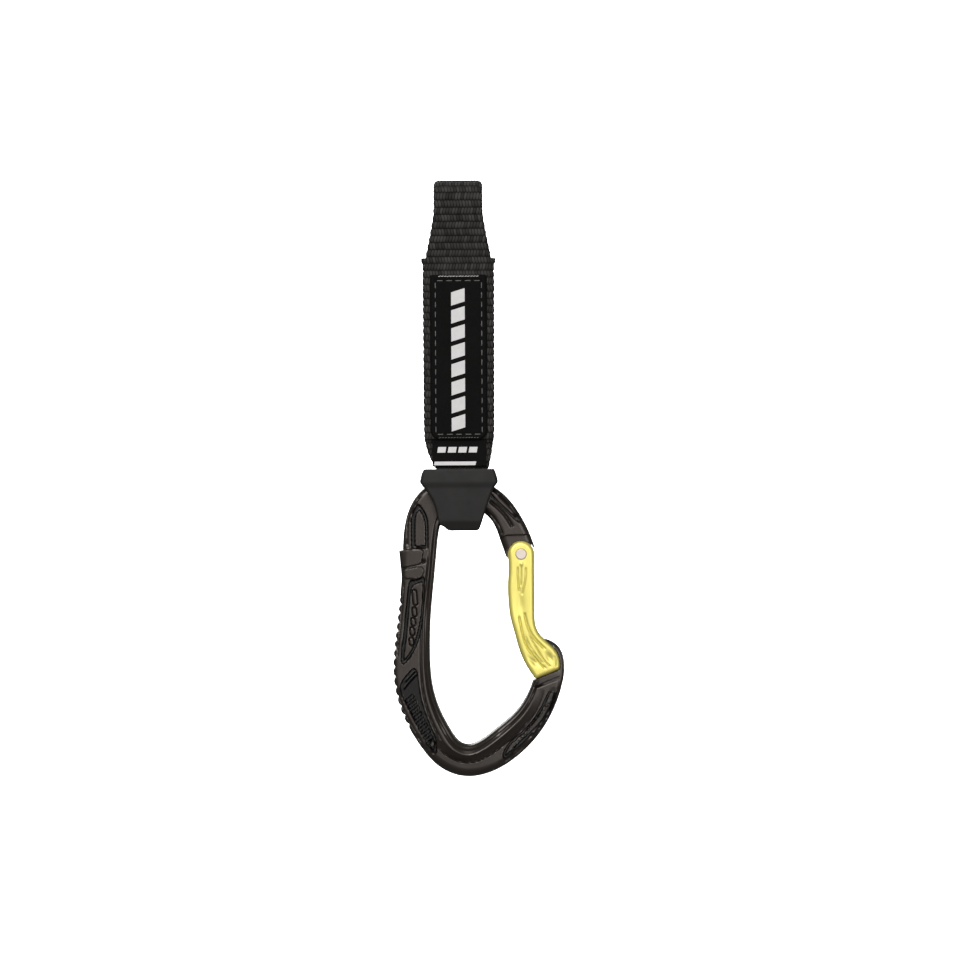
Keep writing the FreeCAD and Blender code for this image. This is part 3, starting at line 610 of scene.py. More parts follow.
def tape_half_width(z, full_top=False):
    """Half the tape's width at a height, and how far its middle has moved towards the gate."""
    low = [LOOP_Z - 30, LOOP_Z + 1.5, LOOP_Z + 8, BLOCK_BOTTOM - 3.6, BLOCK_BOTTOM + 2.5]
    half = [5.0, 5.1, 9.4, 11.5, WIDE - 0.2]
    table = list(zip(low, half))
    if not full_top:
        table += [(BLOCK_TOP - 4.5, WIDE), (BLOCK_TOP, WIDE - 1.0), (-17.0, 10.0), (-9.7, NARROW), (9, NARROW)]
    width = np.interp(z, [t[0] for t in table], [t[1] for t in table])
    if full_top:                       # the cut end flares out of the stack
        width = width + END_FLARE * smoothstep((np.asarray(z) - BLOCK_TOP + 1.7) / 1.1)
    return width, 1.6 * smoothstep((BLOCK_BOTTOM - z) / (BLOCK_BOTTOM - LOOP_Z - 1.5))


print("block", round(BLOCK_TOP, 2), round(BLOCK_BOTTOM, 2), "tape", TAPE, "loop", round(LOOP_HALF, 2))

# %% The woven strip
TAPE_STEP, TAPE_EASE = 0.36, 6         # step along the path, and how often its corners are eased
SCALLOP = 0.34                         # how far the selvedge draws in between two ribs
ROLL_FROM = 0.9                        # share of the half width where the selvedge starts to turn over
RIB_RISE, YARN_RISE, RELIEF_FOOT = 0.2, 0.2, 0.24
PRESSED_SHARE, PRESSED_SINK = 0.4, 0.12


def tape_flat(path, full_top=False):
    """The width, length and area in metres of the strip laid out flat: its woven width, run out along its path."""
    line, run = softened(path, TAPE_STEP, TAPE_EASE)
    half = tape_half_width(line[:, 1], full_top)[0]
    area = float(np.sum((half[1:] + half[:-1]) * np.diff(run)))
    return (2 * float(half.max()) * MM, float(run[-1]) * MM), area * MM**2


def tape_piece(name, path, step, columns, full_top=False, inner_columns=26):
    """A strip of tape along a path in the YZ plane. The side to the path's right, its outside, has the finer grid."""
    line, run = softened(path, step, TAPE_EASE)
    along = directions(line)
    right = np.column_stack([along[:, 1], -along[:, 0]])
    half, shift = tape_half_width(line[:, 1], full_top)
    half = smoothed(half, 40)
    rib = np.abs(np.sin(math.pi * run / RIB))
    half = half + SCALLOP * (rib - 1)
    even = np.linspace(-1, 1, columns)     # mostly even, a little closer towards the selvedges
    outside = 0.75 * even + 0.25 * np.sin(even * math.pi / 2 * 0.97) / math.sin(math.pi / 2 * 0.97)
    inside = outside[:: -max(1, columns // inner_columns)]
    across = np.concatenate([outside, inside])
    side = np.concatenate([np.ones(columns), -np.ones(len(inside))])
    edge = np.abs(across)
    roll = np.sqrt(np.clip(1 - np.clip((edge - ROLL_FROM) / 0.1, 0, 1) ** 2, 0, 1)) * 0.96 + 0.04
    selvedge = 1 + 0.10 * np.exp(-(((edge - ROLL_FROM) / 0.05) ** 2))
    depth = (TAPE / 2 - 0.02) * roll * selvedge
    odd_rib = (np.floor(run / RIB) % 2)[:, None]          # each rib's yarns are half a yarn off the last one's
    yarns = 0.5 + 0.5 * np.cos(2 * math.pi * across[None, :] * half[:, None] / YARN + math.pi * odd_rib)
    relief = (RIB_RISE * np.sqrt(rib[:, None]) + YARN_RISE * yarns * rib[:, None] - RELIEF_FOOT) * roll[None, :]
    pressed = PRESSED_SHARE * relief - PRESSED_SINK       # the side that bears on the bar is pressed flat
    relief = np.where(side[None, :] > 0, relief, pressed)
    lift = side[None, :] * (depth[None, :] + relief)
    x = across[None, :] * half[:, None] + shift[:, None]
    y = line[:, 0, None] + right[:, 0, None] * lift
    z = line[:, 1, None] + right[:, 1, None] * lift
    z = z - 0.8 * (smoothstep((edge[None, :] - 0.72) / 0.28) ** 2) * smoothstep((z + 5) / 6)
    points = np.stack([x, y, z], -1).reshape(-1, 3)
    uv = np.stack([x, np.broadcast_to(run[:, None], x.shape)], -1).reshape(-1, 2)
    return new_mesh(name, points, capped_tube(*x.shape), 50, uv)


sling = tape_piece("sling_tape", outer_path, TAPE_STEP, 96)
finish_piece(sling, webbing_finish, "sling", "webbing", "sling_webbing")
strip_flat, strip_area = tape_flat(outer_path)
layer = tape_piece("sling_inner_layer", inner_layer, 0.6, 40, full_top=True)
finish_piece(layer, webbing_finish, "sling", "webbing")
layer_flat, layer_area = tape_flat(inner_layer, full_top=True)
print("flat strip", strip_flat, strip_area, "layer", layer_flat, layer_area)

# %% [markdown]
# ## The label and its seam
# The label is a black woven panel, sewn down all round with grey thread. Its border puffs up a little between the
# stitches. The printed column is a plain run of slanted white bars, which stands in for lettering. A flat card would
# do from afar, but the raised hem and the dips under each stitch are what make a label look sewn.

# %% The label panel
PATCH_CORNER = (3.4, 0.8)              # below, above
SEAM_INSET, SEAM_PITCH, HEM_PITCH = 1.9, 3.5, 1.05
seam_left, seam_right = patch_low[0] + SEAM_INSET, patch_high[0] - SEAM_INSET
seam_low, seam_high = patch_low[2] + SEAM_INSET, patch_high[2] - SEAM_INSET - 0.2


def corner_at(z, low, high, corner):
    """The corner radius that counts at a height. A pair gives the lower corners' and the upper corners'."""
    return np.where(z > (low[1] + high[1]) / 2, corner[1], corner[0]) if isinstance(corner, tuple) else corner


def box_distance(x, z, low, high, corner):
    """How far a point lies inside a rounded box, which is negative outside it."""
    cx, cz = (low[0] + high[0]) / 2, (low[1] + high[1]) / 2
    corner = corner_at(z, low, high, corner)
    dx = np.abs(x - cx) - (high[0] - low[0]) / 2 + corner
    dz = np.abs(z - cz) - (high[1] - low[1]) / 2 + corner
    return corner - np.hypot(np.maximum(dx, 0), np.maximum(dz, 0)) - np.minimum(np.maximum(dx, dz), 0)


def panel(name, low, high, corner, front_of, back_y, step=0.4):
    """A thin cloth panel in the XZ plane with round corners. front_of gives its front face from x, z and the distance
    to its rim."""
    nx, nz = int((high[0] - low[0]) / step), int((high[1] - low[1]) / step)
    u, v = np.meshgrid(np.linspace(-1, 1, nx + 1), np.linspace(-1, 1, nz + 1), indexing="ij")
    x = (low[0] + high[0]) / 2 + u * (high[0] - low[0]) / 2
    z = (low[1] + high[1]) / 2 + v * (high[1] - low[1]) / 2
    inside = box_distance(x, z, low, high, corner)
    for _ in range(3):
        pull = np.maximum(-inside, 0)
        radius = corner_at(z, low, high, corner)
        cx = np.clip(x, low[0] + radius, high[0] - radius)
        cz = np.clip(z, low[1] + radius, high[1] - radius)
        reach = np.maximum(np.hypot(x - cx, z - cz), 1e-9)
        x, z = x - (x - cx) / reach * pull, z - (z - cz) / reach * pull
        inside = box_distance(x, z, low, high, corner)
    front = np.stack([x, front_of(x, z, np.maximum(inside, 0)), z], -1).reshape(-1, 3)
    back = np.stack([x, np.full_like(x, back_y), z], -1).reshape(-1, 3)
    points = np.concatenate([front, back])
    return new_mesh(name, points, two_sided(*x.shape), 40, points[:, [0, 2]])


def stitch_places(start, end, pitch):
    """Middles of the stitches on a straight seam, and the seam's direction."""
    start, end = np.array(start, float), np.array(end, float)
    run = np.linalg.norm(end - start)
    count = max(2, int(round(run / pitch)))
    shares = (np.arange(count) + 0.5) / count
    return start + (end - start) * shares[:, None], (end - start) / run


seam_corners = [(seam_left, seam_high), (seam_right, seam_high), (seam_right, seam_low), (seam_left, seam_low)]
seam_stitches = [stitch_places(a, b, SEAM_PITCH) for a, b in zip(seam_corners, seam_corners[1:] + seam_corners[:1])]
hem_stitches = [
    stitch_places((seam_left + 1.0, z), (seam_right - 1.0, z), HEM_PITCH)
    for z in (patch_high[2] - 0.55, patch_low[2] + 0.75)]


def label_front(x, z, inside):
    """The label's face: a hem that rises from the rim, a furrow along the seam and dips under its stitches."""
    seam = np.abs(box_distance(x, z, (seam_left, seam_low), (seam_right, seam_high), 0.8))
    height = 0.55 * np.sqrt(np.clip(inside / 0.9, 0, 1)) + 0.14 * np.exp(-(((inside - 0.9) / 0.6) ** 2))
    height -= 0.2 * np.exp(-((seam / 0.35) ** 2))
    height += 0.03 * np.sin(z * 0.9) * np.sin(x * 1.1 + 1)
    return -STACK - 0.14 - height


label = panel("label_panel", patch_low[[0, 2]], patch_high[[0, 2]], PATCH_CORNER, label_front, -STACK)
finish_piece(label, label_finish, "sling", "label", "label_patch")

# %% [markdown]
# Each stitch is a short arched tube of thread that dives into the cloth at both ends. A curve object with a bevel would
# give the same tube, but a grid lets every stitch carry the cloth map that winds the twist round it.

# %% Thread


def thread_tube(line, radius, sides=8):
    """A tube of thread along a line of points, tapered into the cloth at both ends, with its cloth map."""
    line = np.asarray(line, float)
    along = directions(line)
    up = np.array([0, -1.0, 0])
    side = np.cross(along, up)
    side /= np.maximum(np.linalg.norm(side, axis=1)[:, None], 1e-9)
    top = np.cross(side, along)
    turn = np.arange(sides) / sides * 2 * math.pi
    ring = np.cos(turn)[None, :, None] * side[:, None, :] + np.sin(turn)[None, :, None] * top[:, None, :]
    points = (line[:, None, :] + ring * radius).reshape(-1, 3)
    faces = grid_faces(len(line), sides, closed=True).tolist()
    faces += [list(range(sides))[::-1], list(range(len(points) - sides, len(points)))]
    run = run_along(line)
    uv = np.stack(np.broadcast_arrays(run[:, None], turn[None, :] / (2 * math.pi)), -1).reshape(-1, 2)
    return points, faces, uv


def stitch_tube(middle, along, length, radius, surface, rise, out=-1):
    """One arched stitch on a face at the given Y. out is the way the face looks."""
    share = np.linspace(-1, 1, 9)
    y = surface + out * (rise * (1 - share**4) - radius * 1.2 * share**4)
    place = np.asarray(middle)[None, :] + np.asarray(along)[None, :] * (share * length / 2)[:, None]
    return thread_tube(np.column_stack([place[:, 0], y, place[:, 1]]), radius)


def thread_piece(name, tubes, material, *stands_for):
    piece = merge(name, [(p, f) for p, f, _ in tubes], 60, np.concatenate([uv for _, _, uv in tubes]))
    finish_piece(piece, material, "sling", "thread", *stands_for)


SEAM_FACE, HEM_FACE = -STACK - 0.5, -STACK - 0.72
SEAM_STITCH, SEAM_RADIUS, HEM_STITCH, HEM_RADIUS = 2.2, 0.165, 0.8, 0.11
seam = [stitch_tube(m, d, SEAM_STITCH, SEAM_RADIUS, SEAM_FACE, 0.08) for places, d in seam_stitches for m in places]
thread_piece("label_seam", seam, seam_thread, "label_stitching")
hem_threads = (("label_top_thread", edge_thread), ("label_hem_thread", seam_thread))
for (name, material), (places, d) in zip(hem_threads, hem_stitches):
    hem = [stitch_tube(m, (d[0], 0.25), HEM_STITCH, HEM_RADIUS, HEM_FACE, 0.02) for m in places]
    thread_piece(name, hem, material)

# %% [markdown]
# The structural tacks are dense zigzags of thread through all three layers. They show on the back, where no label
# covers them. Each is one thread that runs from leg to leg.

# %% Bar tacks
TACK_LEGS, TACK_RADIUS = 30, 0.19


def tack(node):
    """The zigzag of one tack, over the box of the frame's own tack."""
    low, high = box_mm(node)
    tubes = []
    xs = np.linspace(low[0] + 0.3, high[0] - 0.3, TACK_LEGS)
    middle, half = (low[2] + high[2]) / 2, (high[2] - low[2]) / 2
    for i, (x0, x1) in enumerate(zip(xs[:-1], xs[1:])):
        way = 1 if i % 2 else -1
        share = np.linspace(-1, 1, 9)
        line = np.column_stack([
            (x0 + x1) / 2 + share * (x1 - x0) / 2, low[1] + 0.13 - 0.32 * share**6, middle + way * share * half])
        tubes.append(thread_tube(line, TACK_RADIUS))
    return tubes


for node in ("bar_tack_upper", "bar_tack_middle_upper", "bar_tack_middle_lower", "bar_tack_lower"):
    thread_piece("thread_" + node, tack(node), tack_thread, node)

# %% [markdown]
# ## The printed bars
# Print is a film of ink that lies on the weave. It could be a mask in the label's material, but thin pieces keep a
# crisp rim at any distance, and they follow the label's own relief.

# %% Ink
INK_RISE, INK_THICK = 0.07, 0.12       # the film's face over the cloth, and its thickness down into it


def ink_film(quads, surface_of, step=0.5):
    """Thin films over slanted bars. Each bar is four corners (x, z), and surface_of gives the cloth's Y there."""
    parts = []
    for corners in quads:
        c = np.array(corners, float)
        n = max(2, int(np.linalg.norm(c[1] - c[0]) / step) + 1)
        m = max(2, int(np.linalg.norm(c[3] - c[0]) / step) + 1)
        u, v = np.meshgrid(np.linspace(0, 1, n), np.linspace(0, 1, m), indexing="ij")
        u, v = u[..., None], v[..., None]
        p = (c[0] * (1 - u) + c[1] * u) * (1 - v) + (c[3] * (1 - u) + c[2] * u) * v
        p = p.reshape(-1, 2)
        y, outward = surface_of(p[:, 0], p[:, 1])
        front = np.column_stack([p[:, 0], y, p[:, 1]]) + outward * INK_RISE
        back = front - outward * INK_THICK
        parts.append((np.concatenate([front, back]), two_sided(n, m)))
    return parts


def label_surface(x, z):
    inside = box_distance(x, z, patch_low[[0, 2]], patch_high[[0, 2]], PATCH_CORNER)
    return label_front(x, z, np.maximum(inside, 0)), np.array([0, -1.0, 0])


COLUMN_LEFT, COLUMN_RIGHT, COLUMN_TOP, COLUMN_LOW = -2.6, 2.2, seam_high - 1.0, seam_low + 1.0
BARS, BAR_SHARE, BAR_SLANT = 8, 0.74, 1.5
bar_pitch = (COLUMN_TOP - COLUMN_LOW - BAR_SLANT) / BARS
bars = []
for i in range(BARS):
    low_z = COLUMN_LOW + i * bar_pitch
    high_z = low_z + bar_pitch * BAR_SHARE
    bars.append([(COLUMN_LEFT, low_z), (COLUMN_RIGHT, low_z + BAR_SLANT), (COLUMN_RIGHT, high_z + BAR_SLANT),
                 (COLUMN_LEFT, high_z)])
label_print = merge("label_print", ink_film(bars, label_surface), 40)
finish_piece(label_print, ink, "sling", "label")

# %% [markdown]
# ## The care tag
# A short tape is folded in half and sewn in under the label, so its round fold hangs free in front of the neck. It is
# a strip that goes down, turns and comes back up, a little slack, with two rows of print on the outside.

# %% The folded tag
tag_top = np.array([-1.35, tag_high[2] + 0.3])
tag_foot = np.array([tag_low[1] + 0.75, tag_low[2] + 0.35])
tag_down = (tag_foot - tag_top) / np.linalg.norm(tag_foot - tag_top)
tag_out = np.array([tag_down[1], -tag_down[0]])
TAG_HALF = (tag_high[0] - tag_low[0]) / 2
TAG_THICK = 0.3
TAG_BACK, TAG_FRONT, TAG_FACE = 0.2, 0.78, 0.93    # middles of both layers and the face with the print
TAG_LENGTH = np.linalg.norm(tag_foot - tag_top)


def tag_section():
    """The tag's middle line in the YZ plane: down the back, round the fold and up the front."""
    back, front, length = TAG_BACK, TAG_FRONT, TAG_LENGTH
    middle, r = (back + front) / 2, (front - back) / 2
    down = [tag_top + tag_down * s + tag_out * back for s in np.linspace(0, length - r, 16)]
    turn = [tag_top + tag_down * (length - r + r * math.sin(a)) + tag_out * (middle - r * math.cos(a))
            for a in np.linspace(0.3, math.pi - 0.3, 7)]
    up = [tag_top + tag_down * s + tag_out * front for s in np.linspace(length - r, 0, 16)]
    return np.array(down + turn + up)


def tag_wave(x):
    return 0.09 * np.sin(x * 0.55 + 0.6)


def tag_piece():
    line, run = evenly(tag_section(), 0.3)
    along = directions(line)
    out = np.column_stack([along[:, 1], -along[:, 0]])
    across = np.linspace(-TAG_HALF, TAG_HALF, 50)
    wave = tag_wave(across)[None, :] * np.clip(run / run[-1], 0, 1)[:, None]
    sheets = []
    for side in (1, -1):
        lift = side * TAG_THICK / 2 + wave
        y = line[:, 0, None] + out[:, 0, None] * lift
        z = line[:, 1, None] + out[:, 1, None] * lift
        sheets.append(np.stack([np.broadcast_to(across[None, :], y.shape), y, z], -1).reshape(-1, 3))
    uv = np.tile(np.stack(np.broadcast_arrays(across[None, :], run[:, None]), -1).reshape(-1, 2), (2, 1))
    return new_mesh("care_tag_fold", np.concatenate(sheets), two_sided(len(line), len(across)), 40, uv)


tag = tag_piece()
finish_piece(tag, label_finish, "sling", "label", "care_tag")


def tag_surface(x, z):
    """The tag's front face. Its wave grows from the top of the back, round the fold, to the top of the front, and
    points the other way in front."""
    share = (tag_top[1] + tag_out[1] * TAG_FACE - z) / -tag_down[1]
    rise = 1 - 0.5 * share / TAG_LENGTH
    y = tag_top[0] + tag_out[0] * (TAG_FACE - tag_wave(x) * rise) + tag_down[0] * share
    return y, np.array([0, tag_out[0], tag_out[1]])


rows_of_print = [                      # top, foot, left, right, number of blocks
    (tag_high[2] - 2.3, tag_high[2] - 4.3, -7.8, 7.0, 4), (tag_low[2] + 2.2, tag_low[2] + 0.9, -9.0, 5.7, 1)]
tag_bars = []
for top, low, left, right, count in rows_of_print:
    width = (right - left) / count
    for i in range(count):
        x0 = left + i * width
        x1 = x0 + width * (0.78 if count > 1 else 1)
        tag_bars.append([(x0, low), (x1, low), (x1 + 0.35, top), (x0 + 0.35, top)])
tag_print = merge("tag_print", ink_film(tag_bars, tag_surface), 40)
finish_piece(tag_print, ink, "sling", "label")

# %% [markdown]
# ## The rubber keeper
# The keeper is a moulded boot: a collar round the tape's neck, then a body that tapers to a blunt foot, with the bar
# running through it. Its outside is a stack of rounded sections. The room for tape and bar is cut out with Booleans,
# and a fine voxel remesh with a little smoothing then gives every edge the soft radius of moulded rubber.

# %% Outside of the boot
KEEPER_FRONT = [                       # height below the top, left edge, right edge
    (0.0, -12.5, 12.3), (1.6, -13.3, 13.0), (4.4, -13.95, 13.7), (4.9, -13.9, 13.6), (6.5, -12.8, 12.5),
    (7.4, -12.0, 12.0), (8.7, -11.1, 11.4), (11.2, -9.7, 10.6), (14.4, -8.5, 9.5), (18.4, -7.7, 8.2),
    (20.4, -7.2, 7.6), (20.9, -5.6, 7.4), (22.0, -4.4, 6.9),
]
KEEPER_ROUND = [(0.008, 0.97), (0.015, 0.9), (0.02, 0.8)]     # its foot: share of the height below, of the size


def keeper_outside():
    height = keeper_high[2] - keeper_low[2]
    deep = keeper_high[1]
    table = np.array(KEEPER_FRONT)
    table[:, 0] *= height / (table[-1, 0] + 0.45)
    below, shrink = np.array(KEEPER_ROUND).T
    drop = np.concatenate([np.linspace(0, table[-1, 0], 60), table[-1, 0] + height * below])
    left, right = np.interp(drop, table[:, 0], table[:, 1]), np.interp(drop, table[:, 0], table[:, 2])
    depth_table = np.array([           # height below the top, how far short of the full depth
        (0, 0.2), (4.6, 0), (5.2, 0.1), (6.6, 0.5), (14, 0.7), (height - 3.4, 0.9), (height, 2.6)])
    depth = np.interp(drop, depth_table[:, 0], deep - depth_table[:, 1])
    close = np.concatenate([np.ones(60), shrink])
    corners = np.array([(1, -0.87), (1, 0.87), (0.94, 1), (-0.94, 1), (-1, 0.87), (-1, -0.87), (-0.94, -1), (0.94, -1)])
    ahead, share = np.roll(corners, -1, axis=0), np.linspace(0, 1, 10)[:9, None]
    section = np.concatenate([a * (1 - share) + b * share for a, b in zip(corners, ahead)])
    x = ((left + right) / 2)[:, None] + ((right - left) / 2 * close)[:, None] * section[None, :, 0]
    y = (depth * close)[:, None] * section[None, :, 1]
    z = np.broadcast_to((keeper_high[2] - drop)[:, None], x.shape)
    return new_mesh("keeper_boot", np.stack([x, y, z], -1).reshape(-1, 3), capped_tube(*x.shape))


TAPE_ROOM = 0.3                        # clearance of the tape in its slot


def tape_room():
    """The slot that the tape runs in, from above the collar to the round end of the loop."""
    hollow = LOOP_HALF + TAPE / 2 + TAPE_ROOM
    top = keeper_high[2] + 2
    arc = round_turn(loop_centre, hollow, 180, 360, 12)
    profile = [(hollow - 1.2, top), (-hollow + 1.2, top), (-hollow, top - 6.5)] + arc + [(hollow, top - 6.5)]
    sections = []
    for y, z in profile:
        half, shift = tape_half_width(np.array([z]))
        sections.append((y, z, float(half[0]) + TAPE_ROOM, float(shift[0])))
    left = [[s - h, y, z] for y, z, h, s in sections]
    right = [[s + h, y, z] for y, z, h, s in sections]
    return new_mesh("cutter", np.array(left + right), ring_solid(len(sections)))


print("keeper", keeper_low.round(1), keeper_high.round(1))

# %% [markdown]
# ## The forged bar
# The carabiner's bar is drawn by stations, each a centre, a width and a depth. Between them runs a spline, and across
# it a rounded box. The forging's recesses, grooves and raised pads are changes in the height of the two faces, so they
# can be worked out point by point from two numbers: how far along the bar a point lies, and how far off its middle.
# That keeps the long highlights unbroken, which cutting each pocket with a Boolean would not.

# %% Stations of the bar
BAR_WIDTH, BAR_DEPTH = 11.4, 10.0
STATIONS = np.array([                  # x, z from the middle of the webbing basket, share of the width, of the depth
    (23.0, -26.8, 0.93, 0.86), (21.7, -21.8, 0.94, 0.86), (19.4, -15.3, 0.93, 0.87), (16.4, -8.9, 0.85, 0.89),
    (11.0, -3.0, 0.86, 0.91), (4.5, -0.3, 0.95, 0.92), (-3.0, -0.3, 1.03, 0.92), (-9.6, -3.9, 1.08, 0.91),
    (-12.8, -9.9, 1.08, 0.90), (-14.1, -18.6, 1.06, 0.89), (-15.0, -31.1, 1.01, 0.88), (-16.2, -43.6, 1.02, 0.88),
    (-17.1, -56.1, 1.12, 0.89), (-16.9, -66.1, 1.17, 0.91), (-14.0, -77.4, 1.13, 0.95), (-9.0, -86.7, 1.06, 0.98),
    (-3.4, -93.0, 1.00, 1.00), (2.4, -94.9, 0.99, 1.00), (8.2, -93.7, 1.03, 1.00), (16.3, -88.6, 1.08, 0.97),
    (24.1, -81.1, 0.99, 0.92), (29.2, -72.4, 0.92, 0.89), (31.5, -64.6, 0.90, 0.87), (31.85, -60.4, 0.86, 0.82),
    (31.5, -57.0, 0.72, 0.80), (31.1, -54.9, 0.46, 0.74), (31.0, -54.2, 0.26, 0.60),
])
NOSE_END = len(STATIONS) - 1


def bar_at(t):
    """Centres, outward directions, half widths and half depths of the bar at station numbers t."""
    t = np.atleast_1d(np.asarray(t, float))
    centre = spline(STATIONS[:, :2], t)
    ahead, behind = np.minimum(t + 0.01, NOSE_END), np.maximum(t - 0.01, 0)
    way = spline(STATIONS[:, :2], ahead) - spline(STATIONS[:, :2], behind)
    way /= np.linalg.norm(way, axis=1)[:, None]
    width, depth = [spline(np.column_stack([np.arange(NOSE_END + 1) * 4.0, STATIONS[:, k]]), t)[:, 1] for k in (2, 3)]
    out = np.column_stack([way[:, 1], -way[:, 0]])
    return centre + [0, SWING[2]], out, BAR_WIDTH * width / 2, BAR_DEPTH * depth / 2


FINE_T = np.linspace(0, NOSE_END, 2600)
FINE_RUN = run_along(bar_at(FINE_T)[0])


def run_at(t):
    """Distance along the bar's middle line to station number t, in millimetres."""
    return np.interp(t, FINE_T, FINE_RUN)


print("bar length", FINE_RUN[-1].round(1), "mm")

# %% Room for the bar through the keeper
ROOM_FIRST, ROOM_LAST = 2.0, 10.6      # stations between which the keeper is hollowed for the bar
ROOM_GROW, ROOM_DEPTH = 0.9, 8.1       # clearance in the bar's plane, half the slot's depth: the bar swings in it
VOXEL = 0.28


def bar_tube(name, first, last, grow, deep, step=0.05):
    """A plain rounded tube along part of the bar, grown in its plane, with a fixed depth."""
    centre, out, half, _ = bar_at(np.arange(first, last, step))
    half = half + grow
    corners = np.array([(-1, -0.8), (-0.8, -1), (0.8, -1), (1, -0.8), (1, 0.8), (0.8, 1), (-0.8, 1), (-1, 0.8)])
    o = half[:, None] * corners[None, :, 0]
    x = centre[:, 0, None] + out[:, 0, None] * o
    z = centre[:, 1, None] + out[:, 1, None] * o
    y = np.broadcast_to(deep * corners[None, :, 1], x.shape)
    return new_mesh(name, np.stack([x, y, z], -1).reshape(-1, 3), capped_tube(*x.shape))


def vertex_vectors(mesh, kind):
    """A mesh's places or normals, one row for each point."""
    values = np.zeros(len(mesh.vertices) * 3)
    mesh.vertices.foreach_get(kind, values)
    return values.reshape(-1, 3)


def store_mask(mesh, name, mask):
    """Stores a value from 0 to 1 at each point, which a material reads by its name."""
    layer = mesh.attributes.new(name, "FLOAT", "POINT")
    layer.data.foreach_set("value", np.clip(mask, 0, 1).astype(np.float32))


def mark_edges(mesh, low, high):
    """Stores how sharply the surface turns outwards at each point, for the worn look of ridges."""
    n = len(mesh.vertices)
    place, normal = vertex_vectors(mesh, "co"), vertex_vectors(mesh, "normal")
    ends = np.zeros(len(mesh.edges) * 2, np.int64)
    mesh.edges.foreach_get("vertices", ends)
    a, b = ends.reshape(-1, 2).T
    step = place[b] - place[a]
    length = np.maximum(np.linalg.norm(step, axis=1), 1e-7)
    turn = np.einsum("ij,ij->i", normal[b] - normal[a], step) / length**2
    total = np.bincount(a, turn, n) + np.bincount(b, turn, n)
    count = np.maximum(np.bincount(a, minlength=n) + np.bincount(b, minlength=n), 1)
    curve = total / count * MM
    for _ in range(2):
        spread = np.bincount(a, curve[b], n) + np.bincount(b, curve[a], n)
        curve = (curve + spread / count) / 2
    store_mask(mesh, "edge", (curve - low) / (high - low))


keeper = keeper_outside()
cut(keeper, tape_room())
cut(keeper, bar_tube("cutter", ROOM_FIRST, ROOM_LAST, ROOM_GROW, ROOM_DEPTH))
remesh = keeper.modifiers.new("voxels", "REMESH")
remesh.mode, remesh.voxel_size = "VOXEL", VOXEL * MM
ease = keeper.modifiers.new("ease", "SMOOTH")
ease.factor, ease.iterations = 0.5, 6
apply_modifiers(keeper)
shade(keeper.data, 60)
mark_edges(keeper.data, 0.15, 0.9)
finish_piece(keeper, rubber, "sling", "keeper_rubber", "rubber_keeper")

# %% [markdown]
# ## Forged detail on the bar
# A pocket is an outline on the bar and a depth. Inside some, a pad stands back up, so only a moat remains. The inner
# edge carries a rounded flange with a groove behind it, the basket a second groove. Scallops for grip run down the
# outside of the spine, and a ledge crosses it for the finger that holds the carabiner steady.

# %% Outlines on the bar
POCKETS = [                            # outline (x, z) in mm, depth, outline of the pad that stands in it, its depth
    ([(-14.6, -112.6), (-16.2, -114.8), (-17.0, -117.4), (-17.2, -121.0), (-17.1, -127.8), (-17.0, -128.4),
      (-11.2, -128.5), (-11.1, -128.0), (-11.1, -119.0), (-11.8, -116.6), (-13.1, -114.3)], 1.4,
     [(-14.3, -114.4), (-15.4, -116.3), (-15.9, -118.6), (-15.9, -127.3), (-15.6, -127.7), (-12.3, -127.7),
      (-12.0, -127.3), (-12.0, -119.4), (-12.7, -117.0)], 0.3),
    ([(-18.1, -139.7), (-19.0, -148.8), (-20.2, -159.7), (-21.1, -166.8), (-20.9, -168.8), (-20.1, -169.5),
      (-18.9, -168.6), (-17.0, -166.1), (-15.2, -162.6), (-13.9, -158.1), (-13.0, -152.5), (-12.6, -146.0),
      (-12.2, -138.2), (-15.4, -139.8)], 1.4,
     [(-17.3, -141.6), (-18.1, -148.8), (-19.0, -159.4), (-19.9, -165.6), (-20.0, -168.2), (-18.6, -166.9),
      (-16.4, -163.2), (-14.8, -157.8), (-13.7, -152.2), (-13.2, -145.8), (-12.9, -140.0), (-14.4, -140.5)], 0.25),
    ([(-16.6, -170.5), (-21.0, -175.6), (-21.4, -178.3), (-20.6, -181.0), (-19.2, -183.9), (-16.0, -190.3),
      (-11.8, -198.2), (-9.9, -200.9), (-8.7, -201.2), (-8.4, -200.0), (-8.5, -196.0), (-10.35, -191.9),
      (-12.4, -186.6), (-13.9, -181.6), (-14.8, -176.0), (-15.2, -172.0)], 1.35,
     [(-9.9, -195.4), (-9.3, -196.6), (-9.3, -199.9), (-10.2, -199.4), (-11.0, -197.6)], 0.35),
    ([(33.7, -177.7), (34.0, -180.3), (33.1, -183.9), (31.3, -187.4), (28.5, -191.4), (24.9, -195.0), (20.6, -198.9),
      (17.8, -201.6), (15.7, -203.3), (14.8, -202.6), (15.1, -200.5), (17.0, -197.3), (22.0, -193.2), (25.9, -189.1),
      (27.7, -186.1), (29.1, -183.7), (30.3, -181.1), (31.9, -178.3)], 1.2,
     [(33.2, -178.8), (33.2, -180.4), (32.3, -183.6), (30.6, -186.9), (27.9, -190.7), (24.3, -194.2), (20.2, -197.9),
      (17.6, -200.3), (16.0, -201.9), (15.7, -201.0), (17.5, -198.0), (22.4, -193.9), (26.4, -189.8), (28.4, -186.5),
      (29.9, -183.6), (31.1, -181.1), (32.5, -178.9)], 0.5),
    ([(9.5, -106.0), (12.9, -108.0), (18.2, -113.3), (21.3, -117.8), (21.7, -119.3), (20.6, -119.6), (16.4, -115.6),
      (11.3, -110.4), (8.0, -108.2)], 0.9,
     [(9.4, -106.7), (12.7, -108.8), (17.7, -113.9), (20.7, -118.4), (16.6, -114.9), (11.6, -109.9)], 0.3),
]
